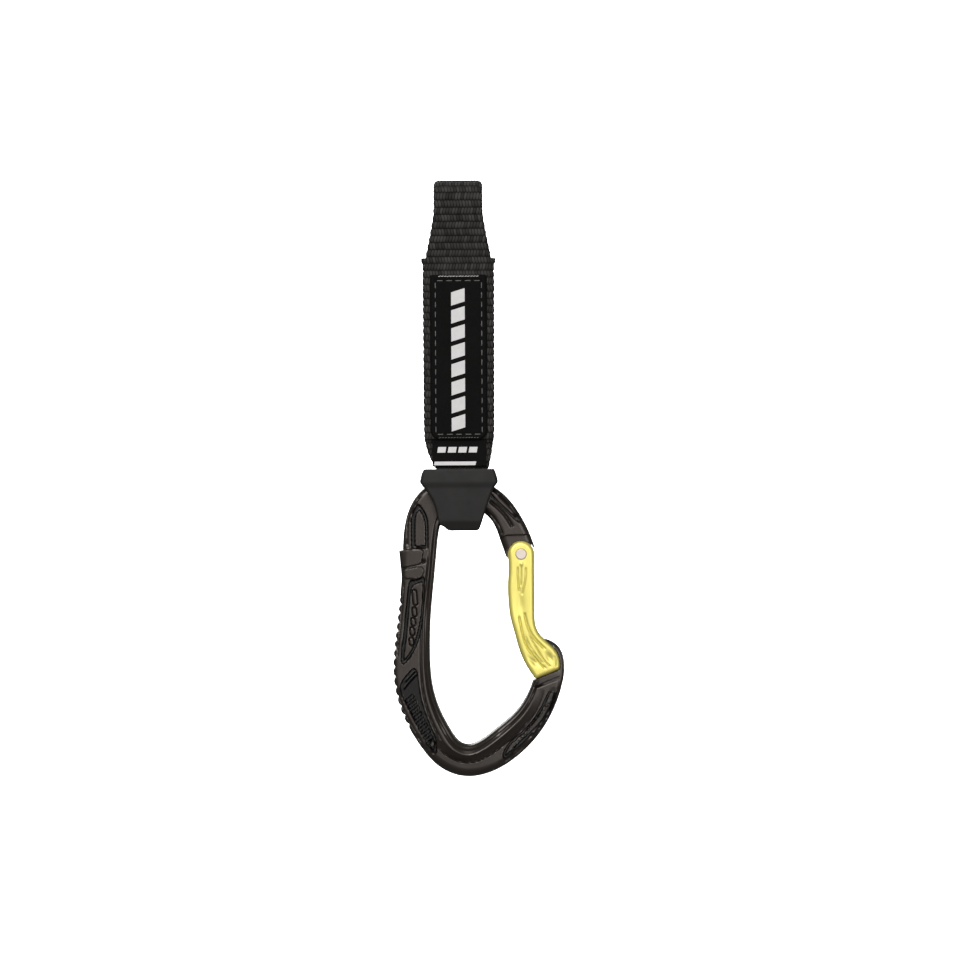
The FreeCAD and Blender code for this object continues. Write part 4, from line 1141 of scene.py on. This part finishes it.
FURROWS = [                            # line (x, z), half width, depth
    ([(-13.2, -109.8), (-16.4, -113.4), (-18.2, -117.8), (-18.5, -122.0), (-18.5, -128.2)], 0.26, 0.5),
    ([(-19.7, -140.0), (-20.4, -148.8), (-21.5, -159.5), (-22.4, -168.0)], 0.26, 0.45),
    ([(-22.5, -178.5), (-20.5, -184.6), (-17.2, -191.2), (-13.0, -198.8), (-11.0, -201.8)], 0.26, 0.5),
    ([(-23.0, -181.5), (-20.8, -187.2), (-17.6, -193.4), (-14.2, -199.2)], 0.2, 0.4),
    ([(10.4, -111.6), (15.6, -116.4), (18.8, -121.3)], 0.5, 0.75),
    ([(8.5, -114.9), (12.6, -118.4), (15.4, -124.0)], 0.32, 0.55),
    ([(35.1, -178.5), (34.2, -184.2), (32.0, -188.8), (28.2, -193.6), (23.0, -198.2), (17.0, -203.0), (13.0, -205.0)],
     0.3, 0.5),
    ([(26.0, -178.15), (35.6, -174.35)], 0.32, 1.0),
    ([(-15.2, -172.9), (-18.6, -176.6), (-20.0, -178.4)], 0.22, -0.6),
    ([(-15.9, -172.0), (-19.6, -175.9)], 0.18, -0.45),
]
LEDGES = [                             # raised outline (x, z), how far it stands proud
    ([(-23.0, -130.0), (-21.0, -129.4), (-17.8, -128.6), (-12.7, -128.8), (-13.3, -131.8), (-13.6, -133.9),
      (-19.6, -135.2), (-23.0, -135.4)], 0.85),
    ([(-22.4, -135.6), (-19.4, -135.9), (-13.7, -134.7), (-12.5, -136.2), (-13.6, -138.9), (-16.0, -139.4),
      (-18.4, -139.2), (-20.2, -138.6), (-22.4, -138.2)], 0.5),
]
NOTCH_FIRST, NOTCH_LAST, NOTCH_PITCH, NOTCH_DEPTH = 10.45, 14.4, 3.1, 0.75
RIM = np.array([                       # station, the groove's place from the inner edge, its half width, its depth
    (4.6, 1.7, 0.28, 0.0), (5.4, 1.7, 0.3, 0.6), (9.0, 1.5, 0.3, 0.65), (13.0, 1.8, 0.32, 0.65), (15.5, 2.2, 0.6, 0.8),
    (17.0, 2.3, 0.7, 0.8), (19.0, 2.1, 0.55, 0.8), (21.2, 1.6, 0.34, 0.7), (21.8, 1.6, 0.3, 0.0)])
LINE = np.array([                      # the same, for the fine line beside it
    (9.1, 2.7, 0.3, 0.0), (9.5, 2.7, 0.3, 0.45), (13.0, 3.4, 0.32, 0.5), (15.0, 4.6, 0.4, 0.5), (15.6, 4.8, 0.5, 0.0)])
LINKS = [                              # centre (x, z) and length
    (-16.0, -145.9, 5.6), (-16.15, -151.0, 3.4), (-16.6, -154.5, 3.0), (-16.95, -157.9, 3.1), (-17.25, -161.5, 3.0)]
LINK_HALF, LINK_DEPTH = 0.78, 0.5      # half a link's width, depth of the groove round it
RIB_ROWS = [                           # start, end, number of ribs, their reach, height and lean
    ((-18.4, -180.6), (-9.9, -199.0), 9, 1.8, 0.8, 0.25), ((31.9, -182.6), (17.6, -200.6), 15, 0.55, 0.3, 0.3)]
LEDGE_PIT = (-12.8, -133.2, 0.55, 0.9)     # x, z, radius, depth
SHOULDER_Z, SHOULDER_SINK = -123.9, 1.15   # where the flat for the gate's end begins, and how deep it lies
TERRACE = np.array([                   # station, crest of the rib and foot of the step from the inner edge, depth
    (14.7, 5.0, 7.5, 0.0), (15.3, 4.0, 7.1, 1.2), (16.0, 3.6, 6.4, 1.6), (17.0, 3.6, 6.2, 1.7), (19.0, 3.2, 6.0, 1.6),
    (20.3, 2.9, 5.5, 1.0), (21.3, 2.6, 4.6, 0.0)])


def outline_distance(x, z, corners):
    """Distance inside a closed outline, negative outside it."""
    c = np.array(corners, float)
    nearest, inside = np.full(x.shape, 1e9), np.zeros(x.shape, bool)
    for (x0, z0), (x1, z1) in zip(c, np.roll(c, -1, axis=0)):
        dx, dz = x1 - x0, z1 - z0
        share = np.clip(((x - x0) * dx + (z - z0) * dz) / (dx * dx + dz * dz), 0, 1)
        nearest = np.minimum(nearest, np.hypot(x - x0 - share * dx, z - z0 - share * dz))
        if dz:
            inside ^= ((z0 > z) != (z1 > z)) & (x < x0 + dx * (z - z0) / dz)
    return np.where(inside, nearest, -nearest)


def eased(corners, passes=2):
    """A closed outline with its corners cut, once for each pass."""
    c = np.array(corners, float)
    for _ in range(passes):
        ahead = np.roll(c, -1, axis=0)
        c = np.stack([c * 0.8 + ahead * 0.2, c * 0.2 + ahead * 0.8], 1).reshape(-1, 2)
    return c


def pocket_sink(x, z, corners, depth, pad, pad_depth):
    floor = depth * smoothstep((outline_distance(x, z, eased(corners)) + 0.15) / 0.4)
    return floor - (depth - pad_depth) * smoothstep((outline_distance(x, z, eased(pad)) + 0.1) / 0.4)


def furrow_sink(x, z, points, half, depth):
    """A groove along a line, fading at both ends. A negative depth makes a ridge."""
    line = spline(points, np.linspace(0, len(points) - 1, 70))
    nearest, share = np.full(x.shape, 1e9), np.zeros(x.shape)
    for i, (px, pz) in enumerate(line):
        away = np.hypot(x - px, z - pz)
        share = np.where(away < nearest, i / 69, share)
        nearest = np.minimum(nearest, away)
    return depth * smoothstep(share / 0.08) * smoothstep((1 - share) / 0.08) * np.exp(-((nearest / half) ** 2))


def along_bar(table, t):
    """The columns of a station table, read at station numbers t."""
    return [np.interp(t, table[:, 0], table[:, k]) for k in range(1, table.shape[1])]


def rim_sink(t, from_inner):
    """The groove behind the inner flange, the line beside it and the terrace under the basket."""
    sink = np.zeros(t.shape)
    for table in (RIM, LINE):
        place, half, depth = along_bar(table, t)
        depth = np.where((t < table[0, 0]) | (t > table[-1, 0]), 0, depth)
        sink = np.maximum(sink, depth * np.exp(-(((from_inner - place) / half) ** 2)))
    crest, foot, depth = along_bar(TERRACE, t)
    across = np.clip((from_inner - crest) / (foot - crest), 0, 1)
    hollow = depth * across**0.9 * (1 - smoothstep((from_inner - foot) / 0.32))
    return np.maximum(sink, hollow)


def link_marks(x, z):
    """Five rounded links down the long pad, drawn by a groove round each."""
    sink = np.zeros(x.shape)
    for cx, cz, length in LINKS:
        u, v = (x - cx) - 0.09 * (cz - z), z - cz
        ring = np.hypot(np.maximum(np.abs(v) - (length / 2 - 0.85), 0), u) - LINK_HALF
        sink += LINK_DEPTH * np.exp(-((ring / 0.2) ** 2))
    return sink


def rib_marks(x, z, start, end, count, reach, height, lean):
    """A row of short raised ribs between two points."""
    start, end = np.array(start), np.array(end)
    way = (end - start) / np.linalg.norm(end - start)
    u = (x - start[0]) * way[0] + (z - start[1]) * way[1]
    v = -(x - start[0]) * way[1] + (z - start[1]) * way[0]
    pitch = np.linalg.norm(end - start) / count
    phase = (u + lean * v) / pitch
    near = np.abs(phase - np.floor(phase) - 0.5) * pitch
    row = smoothstep((reach - np.abs(v)) / 0.3) * ((phase > 0) & (phase < count))
    return height * row * smoothstep((0.27 * pitch - near) / 0.25 + 0.5)


print("pockets", len(POCKETS), "furrows", len(FURROWS))

# %% The bar's surface
FACE_STEPS, ARC_STEPS, SIDE_STEPS = 22, 8, 2
CORNER_OUTER = np.array([(0, 0.5), (7, 0.5), (9, 0.42), (14, 0.42), (16, 0.62), (18, 0.62), (20, 0.5), (26, 0.5)])
CORNER_INNER = np.array([(0, 0.5), (5, 0.6), (9, 0.42), (14, 0.42), (16, 0.55), (18, 0.55), (20, 0.42), (26, 0.42)])


def section_turn():
    """One turn round a rounded box. Each point has its side (+1 outer), its share of the flat, its angle in the corner,
    its share of the side and its face (-1 front)."""
    quarter = [(f, 0.0, 1.0) for f in np.linspace(0, 1, FACE_STEPS + 1)[:-1]]
    quarter += [(1.0, a, 1.0) for a in np.linspace(0, math.pi / 2, ARC_STEPS + 1)[:-1]]
    quarter += [(1.0, math.pi / 2, s) for s in np.linspace(1, 0, SIDE_STEPS + 1)]
    quarter = np.array(quarter)

    def part(side, face, reverse):
        q = quarter[::-1] if reverse else quarter
        return np.column_stack([np.full(len(q), side), q, np.full(len(q), face)])[:-1]

    return np.concatenate([part(1, -1, False), part(1, 1, True), part(-1, 1, False), part(-1, -1, True)]).T


def bar_points(step):
    """The whole forged surface as a grid of sections."""
    t = np.interp(np.arange(0, FINE_RUN[-1], step), FINE_RUN, FINE_T)
    centre, out, half, deep = bar_at(t)
    side, flat, angle, level, face = section_turn()
    half, deep, tt = half[:, None], deep[:, None], np.repeat(t[:, None], len(side), 1)
    corner = [np.interp(t, table[:, 0], table[:, 1])[:, None] * deep for table in (CORNER_OUTER, CORNER_INNER)]
    radius = np.minimum(np.where(side > 0, *corner), half * 0.85)
    off = side * (flat * (half - radius) + radius * np.sin(angle))
    height = (deep - radius) * level + radius * np.cos(angle)
    x = centre[:, 0, None] + out[:, 0, None] * off
    z = centre[:, 1, None] + out[:, 1, None] * off
    along = np.repeat(run_at(t)[:, None], len(side), 1)

    sink = rim_sink(tt, off + half)
    for pocket in POCKETS:
        sink = np.maximum(sink, pocket_sink(x, z, *pocket))
    for furrow in FURROWS:
        sink = sink + furrow_sink(x, z, *furrow)
    sink = sink + link_marks(x, z)
    for row in RIB_ROWS:
        sink = sink - rib_marks(x, z, *row)
    pit_x, pit_z, pit_radius, pit_depth = LEDGE_PIT
    sink = sink + pit_depth * np.exp(-(((x - pit_x) ** 2 + (z - pit_z) ** 2) / pit_radius**2))
    sink = np.maximum(sink, SHOULDER_SINK * smoothstep((SHOULDER_Z - z + 0.03 * (x - 16)) / 0.3) * (tt < 2.2))
    rise = np.zeros(x.shape)
    for outline, proud in LEDGES:
        rise = np.maximum(rise, proud * smoothstep((outline_distance(x, z, eased(outline, 1)) + 0.2) / 0.45))
    facing = smoothstep((height - 0.25 * deep) / (0.3 * deep))
    height = np.minimum(np.maximum(height + (rise - sink) * facing, 0.4), deep + rise)

    outer = (side > 0) * smoothstep((angle - 0.35) / 0.7)
    lip = smoothstep((tt - 9.13) / 0.07) * (1 - np.clip((tt - 9.2) / 0.72, 0, 1)) * 1.25
    scallop = ((along - run_at(NOTCH_FIRST)) / NOTCH_PITCH) % 1
    in_row = smoothstep((tt - NOTCH_FIRST) / 0.05) * smoothstep((NOTCH_LAST - tt) / 0.05)
    notch = NOTCH_DEPTH * np.abs(2 * scallop - 1) ** 2.2 * in_row
    x = x + out[:, 0, None] * (lip - notch) * outer
    z = z + out[:, 1, None] * (lip - notch) * outer
    return np.stack([x, face * height, z], -1)


def bar_mesh(step):
    points = bar_points(step)
    return new_mesh("carabiner_forging", points.reshape(-1, 3), capped_tube(*points.shape[:2]))


def paint_recess_shade(mesh):
    """Stores painted shade: how deep each point of the faces lies in a pocket or a link groove, where the colour is
    darkened as if in shade.
    """
    x, y, z = vertex_vectors(mesh, "co").T / MM
    deep = link_marks(x, z) * 1.4
    for pocket in POCKETS:
        deep = np.maximum(deep, pocket_sink(x, z, *pocket) - 0.3)
    # the "hollow" mask is painted shade for the recesses
    store_mask(mesh, "hollow", np.clip(deep / 0.8, 0, 1) * (np.abs(y) > 1.5))     # not on the bar's two sides


forging = bar_mesh(0.3)
print("forging", len(forging.data.polygons), "faces")

# %% [markdown]
# ## The gate
# The gate is drawn by two rails, its inner and its outer edge, that meet over the hinge and under the nose. The face
# between them is as high as the distance to the nearest rail allows, which gives an even rounding all the way. The
# flowing creases are shallow furrows along chosen lines. The same outline, grown by the gap, also cuts the bar.

# %% The gate's outline
GATE_EYE, GATE_HALF, GATE_ROUND = 4.7, 4.3, 1.5
OUTER_EDGE = [(4.7, 0.0), (4.7, -11.0), (4.7, -20.5), (5.1, -25.4), (6.6, -28.6), (9.3, -31.2), (12.0, -33.9),
              (13.5, -37.3), (13.8, -40.9)]
INNER_EDGE = [(-4.7, 0.0), (-4.4, -5.2), (-4.7, -10.5), (-4.6, -15.8), (-3.9, -22.4), (-2.5, -27.8), (-1.1, -32.9),
              (0.7, -37.6), (2.7, -41.2), (4.9, -44.4)]
INNER_CORNER, OUTER_CORNER = 1.0, 1.9
HINGE = PIVOT[[0, 2]]


def rounded(corner, before, after, radius, steps=8):
    """Points of the arc that rounds a corner between two neighbours."""
    corner, before, after = (np.asarray(p, float) for p in (corner, before, after))
    a, b = before - corner, after - corner
    a, b = a / np.linalg.norm(a), b / np.linalg.norm(b)
    angle = math.acos(np.clip(a @ b, -1, 1))
    reach = radius / math.tan(angle / 2)
    centre = corner + (a + b) / np.linalg.norm(a + b) * radius / math.sin(angle / 2)
    start, end = corner + a * reach - centre, corner + b * reach - centre
    turn = [start * (1 - s) + end * s for s in np.linspace(0, 1, steps)]
    return [centre + v / np.linalg.norm(v) * radius for v in turn]


def gate_rails():
    """The inner and outer rail, both from the top of the hinge end to the middle of the bottom edge."""
    outer = spline(OUTER_EDGE, np.linspace(0, len(OUTER_EDGE) - 1, 160))
    inner = spline(INNER_EDGE, np.linspace(0, len(INNER_EDGE) - 1, 160))
    middle = (np.array(OUTER_EDGE[-1]) + INNER_EDGE[-1]) / 2
    rails = []
    for edge, sign in ((outer, 1), (inner, -1)):
        arc = [(sign * GATE_EYE * math.sin(a), GATE_EYE * math.cos(a)) for a in np.linspace(0, math.pi / 2, 24)[:-1]]
        corner = rounded(edge[-1], edge[-12], middle, OUTER_CORNER if sign > 0 else INNER_CORNER)
        keep = [p for p in edge if np.linalg.norm(p - edge[-1]) > np.linalg.norm(corner[0] - edge[-1])]
        low = [corner[-1] * (1 - s) + middle * s for s in np.linspace(0, 1, 8)[1:]]
        side, _ = evenly(np.array(keep), 0.45)
        rails.append((np.array(arc), side, np.array(corner + low)))
    return rails


ARC_POINTS, EDGE_POINTS, FOOT_POINTS = 24, 150, 22
outer_rail, inner_rail = [
    HINGE + np.concatenate([
        spaced(arc, ARC_POINTS)[0][:-1], spaced(side, EDGE_POINTS)[0][:-1], spaced(foot, FOOT_POINTS)[0]])
    for arc, side, foot in gate_rails()]
print("gate rails", outer_rail.shape, inner_rail.shape)

# %% The gate's surface
CREASES = [                            # points from the hinge, half width, depth
    ([(-1.2, -4.6), (-1.2, -8.0), (-0.7, -13.6)], 0.24, 0.36),
    ([(0.05, -4.4), (0.05, -8.0), (-0.1, -11.4)], 0.2, 0.22),
    ([(1.6, -4.6), (1.6, -7.9), (1.1, -11.0), (0.2, -14.6)], 0.26, 0.36),
    ([(-0.9, -21.5), (-0.4, -24.5), (0.9, -30.3), (2.0, -33.1), (3.4, -35.2), (5.1, -37.3), (6.9, -39.2), (8.9, -40.9)],
     0.3, 0.5),
    ([(1.0, -20.5), (1.6, -23.5), (2.6, -26.6), (4.2, -29.4), (6.4, -31.9), (8.6, -34.0)], 0.36, 0.5),
    ([(2.4, -27.6), (4.0, -31.1), (5.5, -33.7), (6.9, -36.1), (8.6, -38.3), (10.5, -40.1)], 0.22, 0.36),
    ([(1.4, -28.8), (2.8, -32.3), (4.2, -34.5), (5.9, -36.7), (7.8, -38.9)], 0.2, 0.3),
    ([(11.6, -36.0), (12.3, -38.6), (12.3, -40.0)], 0.3, 0.3),
]
DIMPLES = [                            # centre from the hinge, half length, half width, direction in degrees, depth
    ((4.5, -38.2), 1.9, 0.85, -40, 0.55), ((9.7, -36.6), 1.7, 1.0, -62, 0.5), ((-0.4, -17.8), 5.0, 1.5, -88, 0.45)]


def dimple_sink(x, z, centre, length, width, direction, depth):
    a = math.radians(direction)
    dx, dz = x - HINGE[0] - centre[0], z - HINGE[1] - centre[1]
    u, v = dx * math.cos(a) + dz * math.sin(a), dz * math.cos(a) - dx * math.sin(a)
    return depth * np.exp(-((u / length) ** 2) - (v / width) ** 2)


def gate_mesh(columns=66):
    """The gate as a grid between its rails, as high as the distance to the rim allows, less its creases."""
    share = (1 - np.cos(np.linspace(0, math.pi, columns))) / 2
    share = 0.65 * share + 0.35 * np.linspace(0, 1, columns)
    a, b = inner_rail[1:-1, None, :], outer_rail[1:-1, None, :]
    flat = a * (1 - share[None, :, None]) + b * share[None, :, None]
    x, z = flat[..., 0], flat[..., 1]
    rim = np.concatenate([outer_rail, inner_rail[::-1]])
    inside = np.full(x.shape, 1e9)
    for p, q in zip(rim, np.roll(rim, -1, axis=0)):
        d = q - p
        size = d @ d
        if size < 1e-12:               # the rails share their first and last points
            continue
        s = np.clip(((x - p[0]) * d[0] + (z - p[1]) * d[1]) / size, 0, 1)
        inside = np.minimum(inside, np.hypot(x - p[0] - s * d[0], z - p[1] - s * d[1]))
    near = np.clip(inside, 0, GATE_ROUND)
    height = GATE_HALF - GATE_ROUND + np.sqrt(GATE_ROUND**2 - (GATE_ROUND - near) ** 2)
    sink = np.zeros(x.shape)
    for points, half, depth in CREASES:
        sink = sink + furrow_sink(x, z, np.array(points) + HINGE, half, depth)
    for dimple in DIMPLES:
        sink = sink + dimple_sink(x, z, *dimple)
    sink = sink - 0.35 * np.exp(-(((x - HINGE[0] - 0.25) ** 2 + (z - HINGE[1] + 3.5) ** 2) / 0.55**2))
    return two_faced("gate_pressing", flat, height - sink * smoothstep(inside / 1.1))


gate = gate_mesh()
print("gate", len(gate.data.polygons), "faces")

# %% [markdown]
# ## Machining the hinge and the nose
# After forging, the real bar is milled: a thin tongue is left for the hinge, and a recess for the gate's end with a key
# in its middle. Booleans suit these flat, crisp cuts. The key and its slot are arcs about the rivet, so that the gate
# can swing off the key, and the tongue's lower edge is the involute that drives the plunger.

# %% The hook of the nose
NOSE_OUTER = [(27.0, -160.4), (30.2, -160.9), (33.0, -162.1), (34.9, -163.7), (36.2, -166.0), (36.8, -169.4),
              (36.75, -173.4), (36.0, -176.8), (34.6, -180.0)]
NOSE_INNER = [(27.0, -160.4), (26.2, -163.5), (26.0, -168.0), (27.0, -173.0), (29.0, -178.6)]
HOOK_HALF, HOOK_ROUND = 4.15, 1.3


def plate(name, rail_a, rail_b, half, edge_round, columns=26):
    """A plate between two rails, with its rims rounded. The rails meet at their first points."""
    share = np.linspace(0, 1, columns)
    a, b = rail_a[1:, None, :], rail_b[1:, None, :]
    flat = a * (1 - share[None, :, None]) + b * share[None, :, None]
    inside = np.minimum(np.linalg.norm(flat - a, axis=-1), np.linalg.norm(flat - b, axis=-1))
    height = half - edge_round + np.sqrt(edge_round**2 - (edge_round - np.clip(inside, 0, edge_round)) ** 2)
    return two_faced(name, flat, height)


hook_rails = [spaced(spline(rail, np.linspace(0, len(rail) - 1, 90)), 70)[0] for rail in (NOSE_INNER, NOSE_OUTER)]
cut(forging, plate("hook", *hook_rails, HOOK_HALF, HOOK_ROUND), "UNION")
print("nose hook joined")

# %% Cutters
TONGUE_HALF, CHEEK_GAP, NOSE_GAP, SHOULDER_GAP = 2.1, 0.15, 0.14, 0.2
CAM_REACH, PLUNGER_OFFSET = 3.2, 1.6
KEY_HALF, KEY_TAPER, KEY_PLAY = 2.1, 0.05, 0.18
KEY_ANGLES, SLOT_ANGLES = (9.2, 21.5), (8.5, 40)   # degrees about the rivet: the key's, and its slot's in the gate
BODY_HOLE, CHEEK_HOLE, HEAD_RECESS, HEAD_DEPTH = 1.62, 1.65, 2.05, 0.3     # radii round the rivet, depth under its head
FORK_DEPTH, BORE_RADIUS, BORE_DEPTH, BORE_SIDES = 2.7, 1.3, 20.0, 28
THROUGH = 20                           # half the reach of a cutter that goes right through
ROOM_FROM = 40                         # the rails' point from which the gate's end is let into the nose
key_head = math.hypot(9.3, 34.3)


def grown(points, distance):
    """A closed outline moved outwards by a distance."""
    p = np.asarray(points, float)
    way = np.roll(p, -1, axis=0) - np.roll(p, 1, axis=0)
    way /= np.maximum(np.linalg.norm(way, axis=1)[:, None], 1e-9)
    out = np.column_stack([way[:, 1], -way[:, 0]])
    area = np.sum(p[:, 0] * np.roll(p[:, 1], -1) - np.roll(p[:, 0], -1) * p[:, 1])
    return p + out * distance * (1 if area > 0 else -1)


def key_wedge(start, end, low, high, gap):
    """The nose's dovetail key: arcs about the rivet, thicker at its head than at its root."""
    angles = np.radians(np.linspace(start, end, 14))
    points = []
    for radius in (low, high):
        half = KEY_HALF + gap - KEY_TAPER * (radius - low)
        for side in (-half, half):
            points += [(PIVOT[0] + radius * math.sin(a), side, PIVOT[2] - radius * math.cos(a)) for a in angles]
    n = len(angles)
    rows = [range(0, n), range(n, 2 * n), range(3 * n, 4 * n), range(2 * n, 3 * n)]
    faces = []
    for one, two in zip(rows, rows[1:] + rows[:1]):
        faces += [[one[i], one[i + 1], two[i + 1], two[i]] for i in range(n - 1)]
    faces += [[r[0] for r in rows], [r[-1] for r in rows]]
    return new_mesh("key", np.array(points), faces)


def gate_room():
    """The gate's outline grown by its gap, open towards the rope, less the key that stands in it."""
    rim = np.concatenate([outer_rail[ROOM_FROM:-1], inner_rail[ROOM_FROM:][::-1]])
    room = prism(grown(rim, NOSE_GAP), THROUGH)
    bottom_way = np.array(INNER_EDGE[-1]) - OUTER_EDGE[-1]
    bottom_way = bottom_way / np.linalg.norm(bottom_way)
    corner = np.array(INNER_EDGE[-1]) + HINGE + [0, -1.3 * NOSE_GAP]
    inner, outer = corner + bottom_way * 4.0, corner - bottom_way * 3.0
    wedge = prism([outer, outer + [0, 3.0], inner + [0, 5.0], inner], THROUGH)
    cut(room, wedge, "UNION")
    return cut(room, key_wedge(*KEY_ANGLES, key_head, key_head + 13, 0.0))


def tongue_outline():
    """The tongue's rim: the involute that the plunger runs on, a round heel and a root inside the bar."""
    def cam(phi):
        reach = CAM_REACH + PLUNGER_OFFSET * phi
        x = -PLUNGER_OFFSET * math.cos(phi) - reach * math.sin(phi)
        return x, PLUNGER_OFFSET * math.sin(phi) - reach * math.cos(phi)

    edge = [cam(phi) for phi in np.linspace(1.05, -0.45, 24)]
    r = CAM_REACH + 0.4
    heel = [(r * math.sin(a), -r * math.cos(a)) for a in np.radians(np.linspace(10, 90, 14))]
    return np.array([(-14, edge[0][1])] + edge + heel + [(r, 14), (-14, 14)]) + HINGE


def hinge_room():
    """Everything round the hinge that is milled away, from the gate's closed to its open place."""
    r = GATE_EYE + SHOULDER_GAP
    arc = [(r * math.cos(a), r * math.sin(a)) for a in np.linspace(0.45, math.pi * 0.8, 40)]
    outline = np.array([(16.0, arc[0][1])] + arc + [(-17.0, -14.8), (-17.0, -26.0), (16.0, -26.0)]) + HINGE
    return cut(prism(outline, THROUGH), prism(tongue_outline(), TONGUE_HALF, "tongue"))


def drum(radius, half, centre, y=0.0, sides=48):
    """A round cutter along Y."""
    turn = np.linspace(0, 2 * math.pi, sides, endpoint=False)
    piece = prism(np.column_stack([np.cos(turn), np.sin(turn)]) * radius + centre, half)
    piece.location.y = y * MM
    return piece


cut(forging, hinge_room())
cut(forging, gate_room())
cut(forging, drum(BODY_HOLE, THROUGH, HINGE))
shade(forging.data, 32)
mark_edges(forging.data, 0.25, 1.6)
paint_recess_shade(forging.data)
finish_piece(forging, body_metal.material, "carabiner", "body_anodised", "carabiner_body")

# %% The gate's slots and holes
slot_half = TONGUE_HALF + CHEEK_GAP
fork_foot = -CAM_REACH - FORK_DEPTH
fork = prism(np.array([(-14, fork_foot), (14, fork_foot), (14, 14), (-14, 14)]) + HINGE, slot_half)
cut(gate, fork)
cut(gate, key_wedge(*SLOT_ANGLES, key_head - 0.3, key_head + 20, KEY_PLAY))
cut(gate, drum(CHEEK_HOLE, THROUGH, HINGE))
for side in (-1, 1):
    cut(gate, drum(HEAD_RECESS, 2.5, HINGE, side * (GATE_HALF - HEAD_DEPTH + 2.5)))


def spring_bore():
    """A round cutter along Z, for the spring and the plunger."""
    turn = np.linspace(0, 2 * math.pi, BORE_SIDES, endpoint=False)
    ring = np.column_stack([np.cos(turn) * BORE_RADIUS + PIVOT[0] - PLUNGER_OFFSET, np.sin(turn) * BORE_RADIUS])
    points = [(x, y, PIVOT[2] + z) for z in (-BORE_DEPTH, 0.0) for x, y in ring]
    return new_mesh("bore", np.array(points), ring_solid(BORE_SIDES))


cut(gate, spring_bore())
shade(gate.data, 32)
mark_edges(gate.data, 0.3, 1.8)
finish_piece(gate, gate_metal.material, "gate", "gate_anodised", "gate")

# %% [markdown]
# ## Rivet, plunger and spring
# These are right as the frame brings them, turned and coiled from steel, so they keep their shape and get a finish.

# %% Steel on the frame's own pieces
STEEL_NODES = ("gate_rivet", "gate_plunger", "gate_spring")
for node in STEEL_NODES:
    kept = frame["nodes"][node]
    kept.data.materials.clear()
    kept.data.materials.append(steel_metal.material)
print("steel pieces", STEEL_NODES)

# %% [markdown]
# ## Stage, light and camera
# A pale sweep, floor and wall in one curve, stands behind the hanging quickdraw. Four soft lights wrap the dark metal
# so that its ridges read, and two more wash the wall until it is white. The paper itself could light the object too,
# but then its dark edges would fade. The camera looks straight on through a long lens, as a catalogue shot does.

# %% The sweep


def plain_paper():
    finish = Finish("pale_paper", (0.93, 0.93, 0.93), 0.9, bump=0.05, depth=0.0002)
    grain = finish.group(grain_group, Place=finish.place, Fine_Scale=900.0, Slow_Scale=2.0)
    finish.link(blend_colours(finish.tree, grain["Drift"], (0.92, 0.92, 0.92, 1), (0.95, 0.95, 0.95, 1)), "Base Color")
    finish.height(grain["Height"])
    return finish.material


def paper_sweep():
    floor_z, wall_y, bend = web_low[2] - 650.0, 2400.0, 200.0
    turn = np.linspace(0, math.pi / 2, 24)
    curve = [(wall_y - bend + bend * math.sin(a), floor_z + bend - bend * math.cos(a)) for a in turn]
    profile = [(-1600.0, floor_z)] + curve + [(wall_y, floor_z + 3000.0)]
    rows = np.array([[(x, y, z) for y, z in profile] for x in np.linspace(-2400, 2400, 9)])
    piece = new_mesh("paper_sweep", rows.reshape(-1, 3), grid_faces(9, len(profile)).tolist())
    piece.data.materials.append(plain_paper())
    piece.visible_glossy = piece.visible_diffuse = False   # the paper neither lights the object nor shows in it


paper_sweep()


# %% Lights and camera


def soft_light(name, place, target, size, power):
    data = bpy.data.lights.new(name, "AREA")
    data.shape, data.size, data.energy = "SQUARE", size, power
    lamp = bpy.data.objects.new(name, data)
    lamp.location = Vector(place)
    lamp.rotation_euler = (Vector(target) - Vector(place)).to_track_quat("-Z", "Y").to_euler()
    bpy.context.scene.collection.objects.link(lamp)


middle = (0.006, 0, -0.104)            # what the lights are turned to, in metres
soft_light("key_front", (-0.4, -1.5, 0.6), middle, 0.9, 19)
soft_light("fill_front", (0.55, -1.45, -0.05), middle, 0.9, 7)
soft_light("top", (0.0, -0.5, 0.95), middle, 0.6, 1.6)
soft_light("back", (-0.6, 1.3, 0.7), middle, 0.9, 14)
for side in (-1, 1):
    soft_light(f"wall_wash_{side + 1}", (1.2 * side, 1.6, 0.2), (0.15 * side, 2.4, -0.1), 1.2, 75)

world = bpy.data.worlds.new("studio")
world.use_nodes = True
sky = world.node_tree.nodes["Background"]
sky.inputs["Color"].default_value = (1, 1, 1, 1)
sky.inputs["Strength"].default_value = 0.17
bpy.context.scene.world = world
bpy.context.scene.view_settings.view_transform = "Standard"

camera_data = bpy.data.cameras.new("catalogue_camera")
LENS, SENSOR, FRAME_WIDTH = 135, 36, 0.3394
camera_data.lens, camera_data.sensor_width = LENS, SENSOR
camera = bpy.data.objects.new("catalogue_camera", camera_data)
camera.location = (0.0066, -FRAME_WIDTH * LENS / SENSOR, -0.1037)
camera.rotation_euler = (math.pi / 2, math.radians(0.3), 0)
bpy.context.scene.collection.objects.link(camera)
bpy.context.scene.camera = camera
print("camera at", [round(v, 3) for v in camera.location])
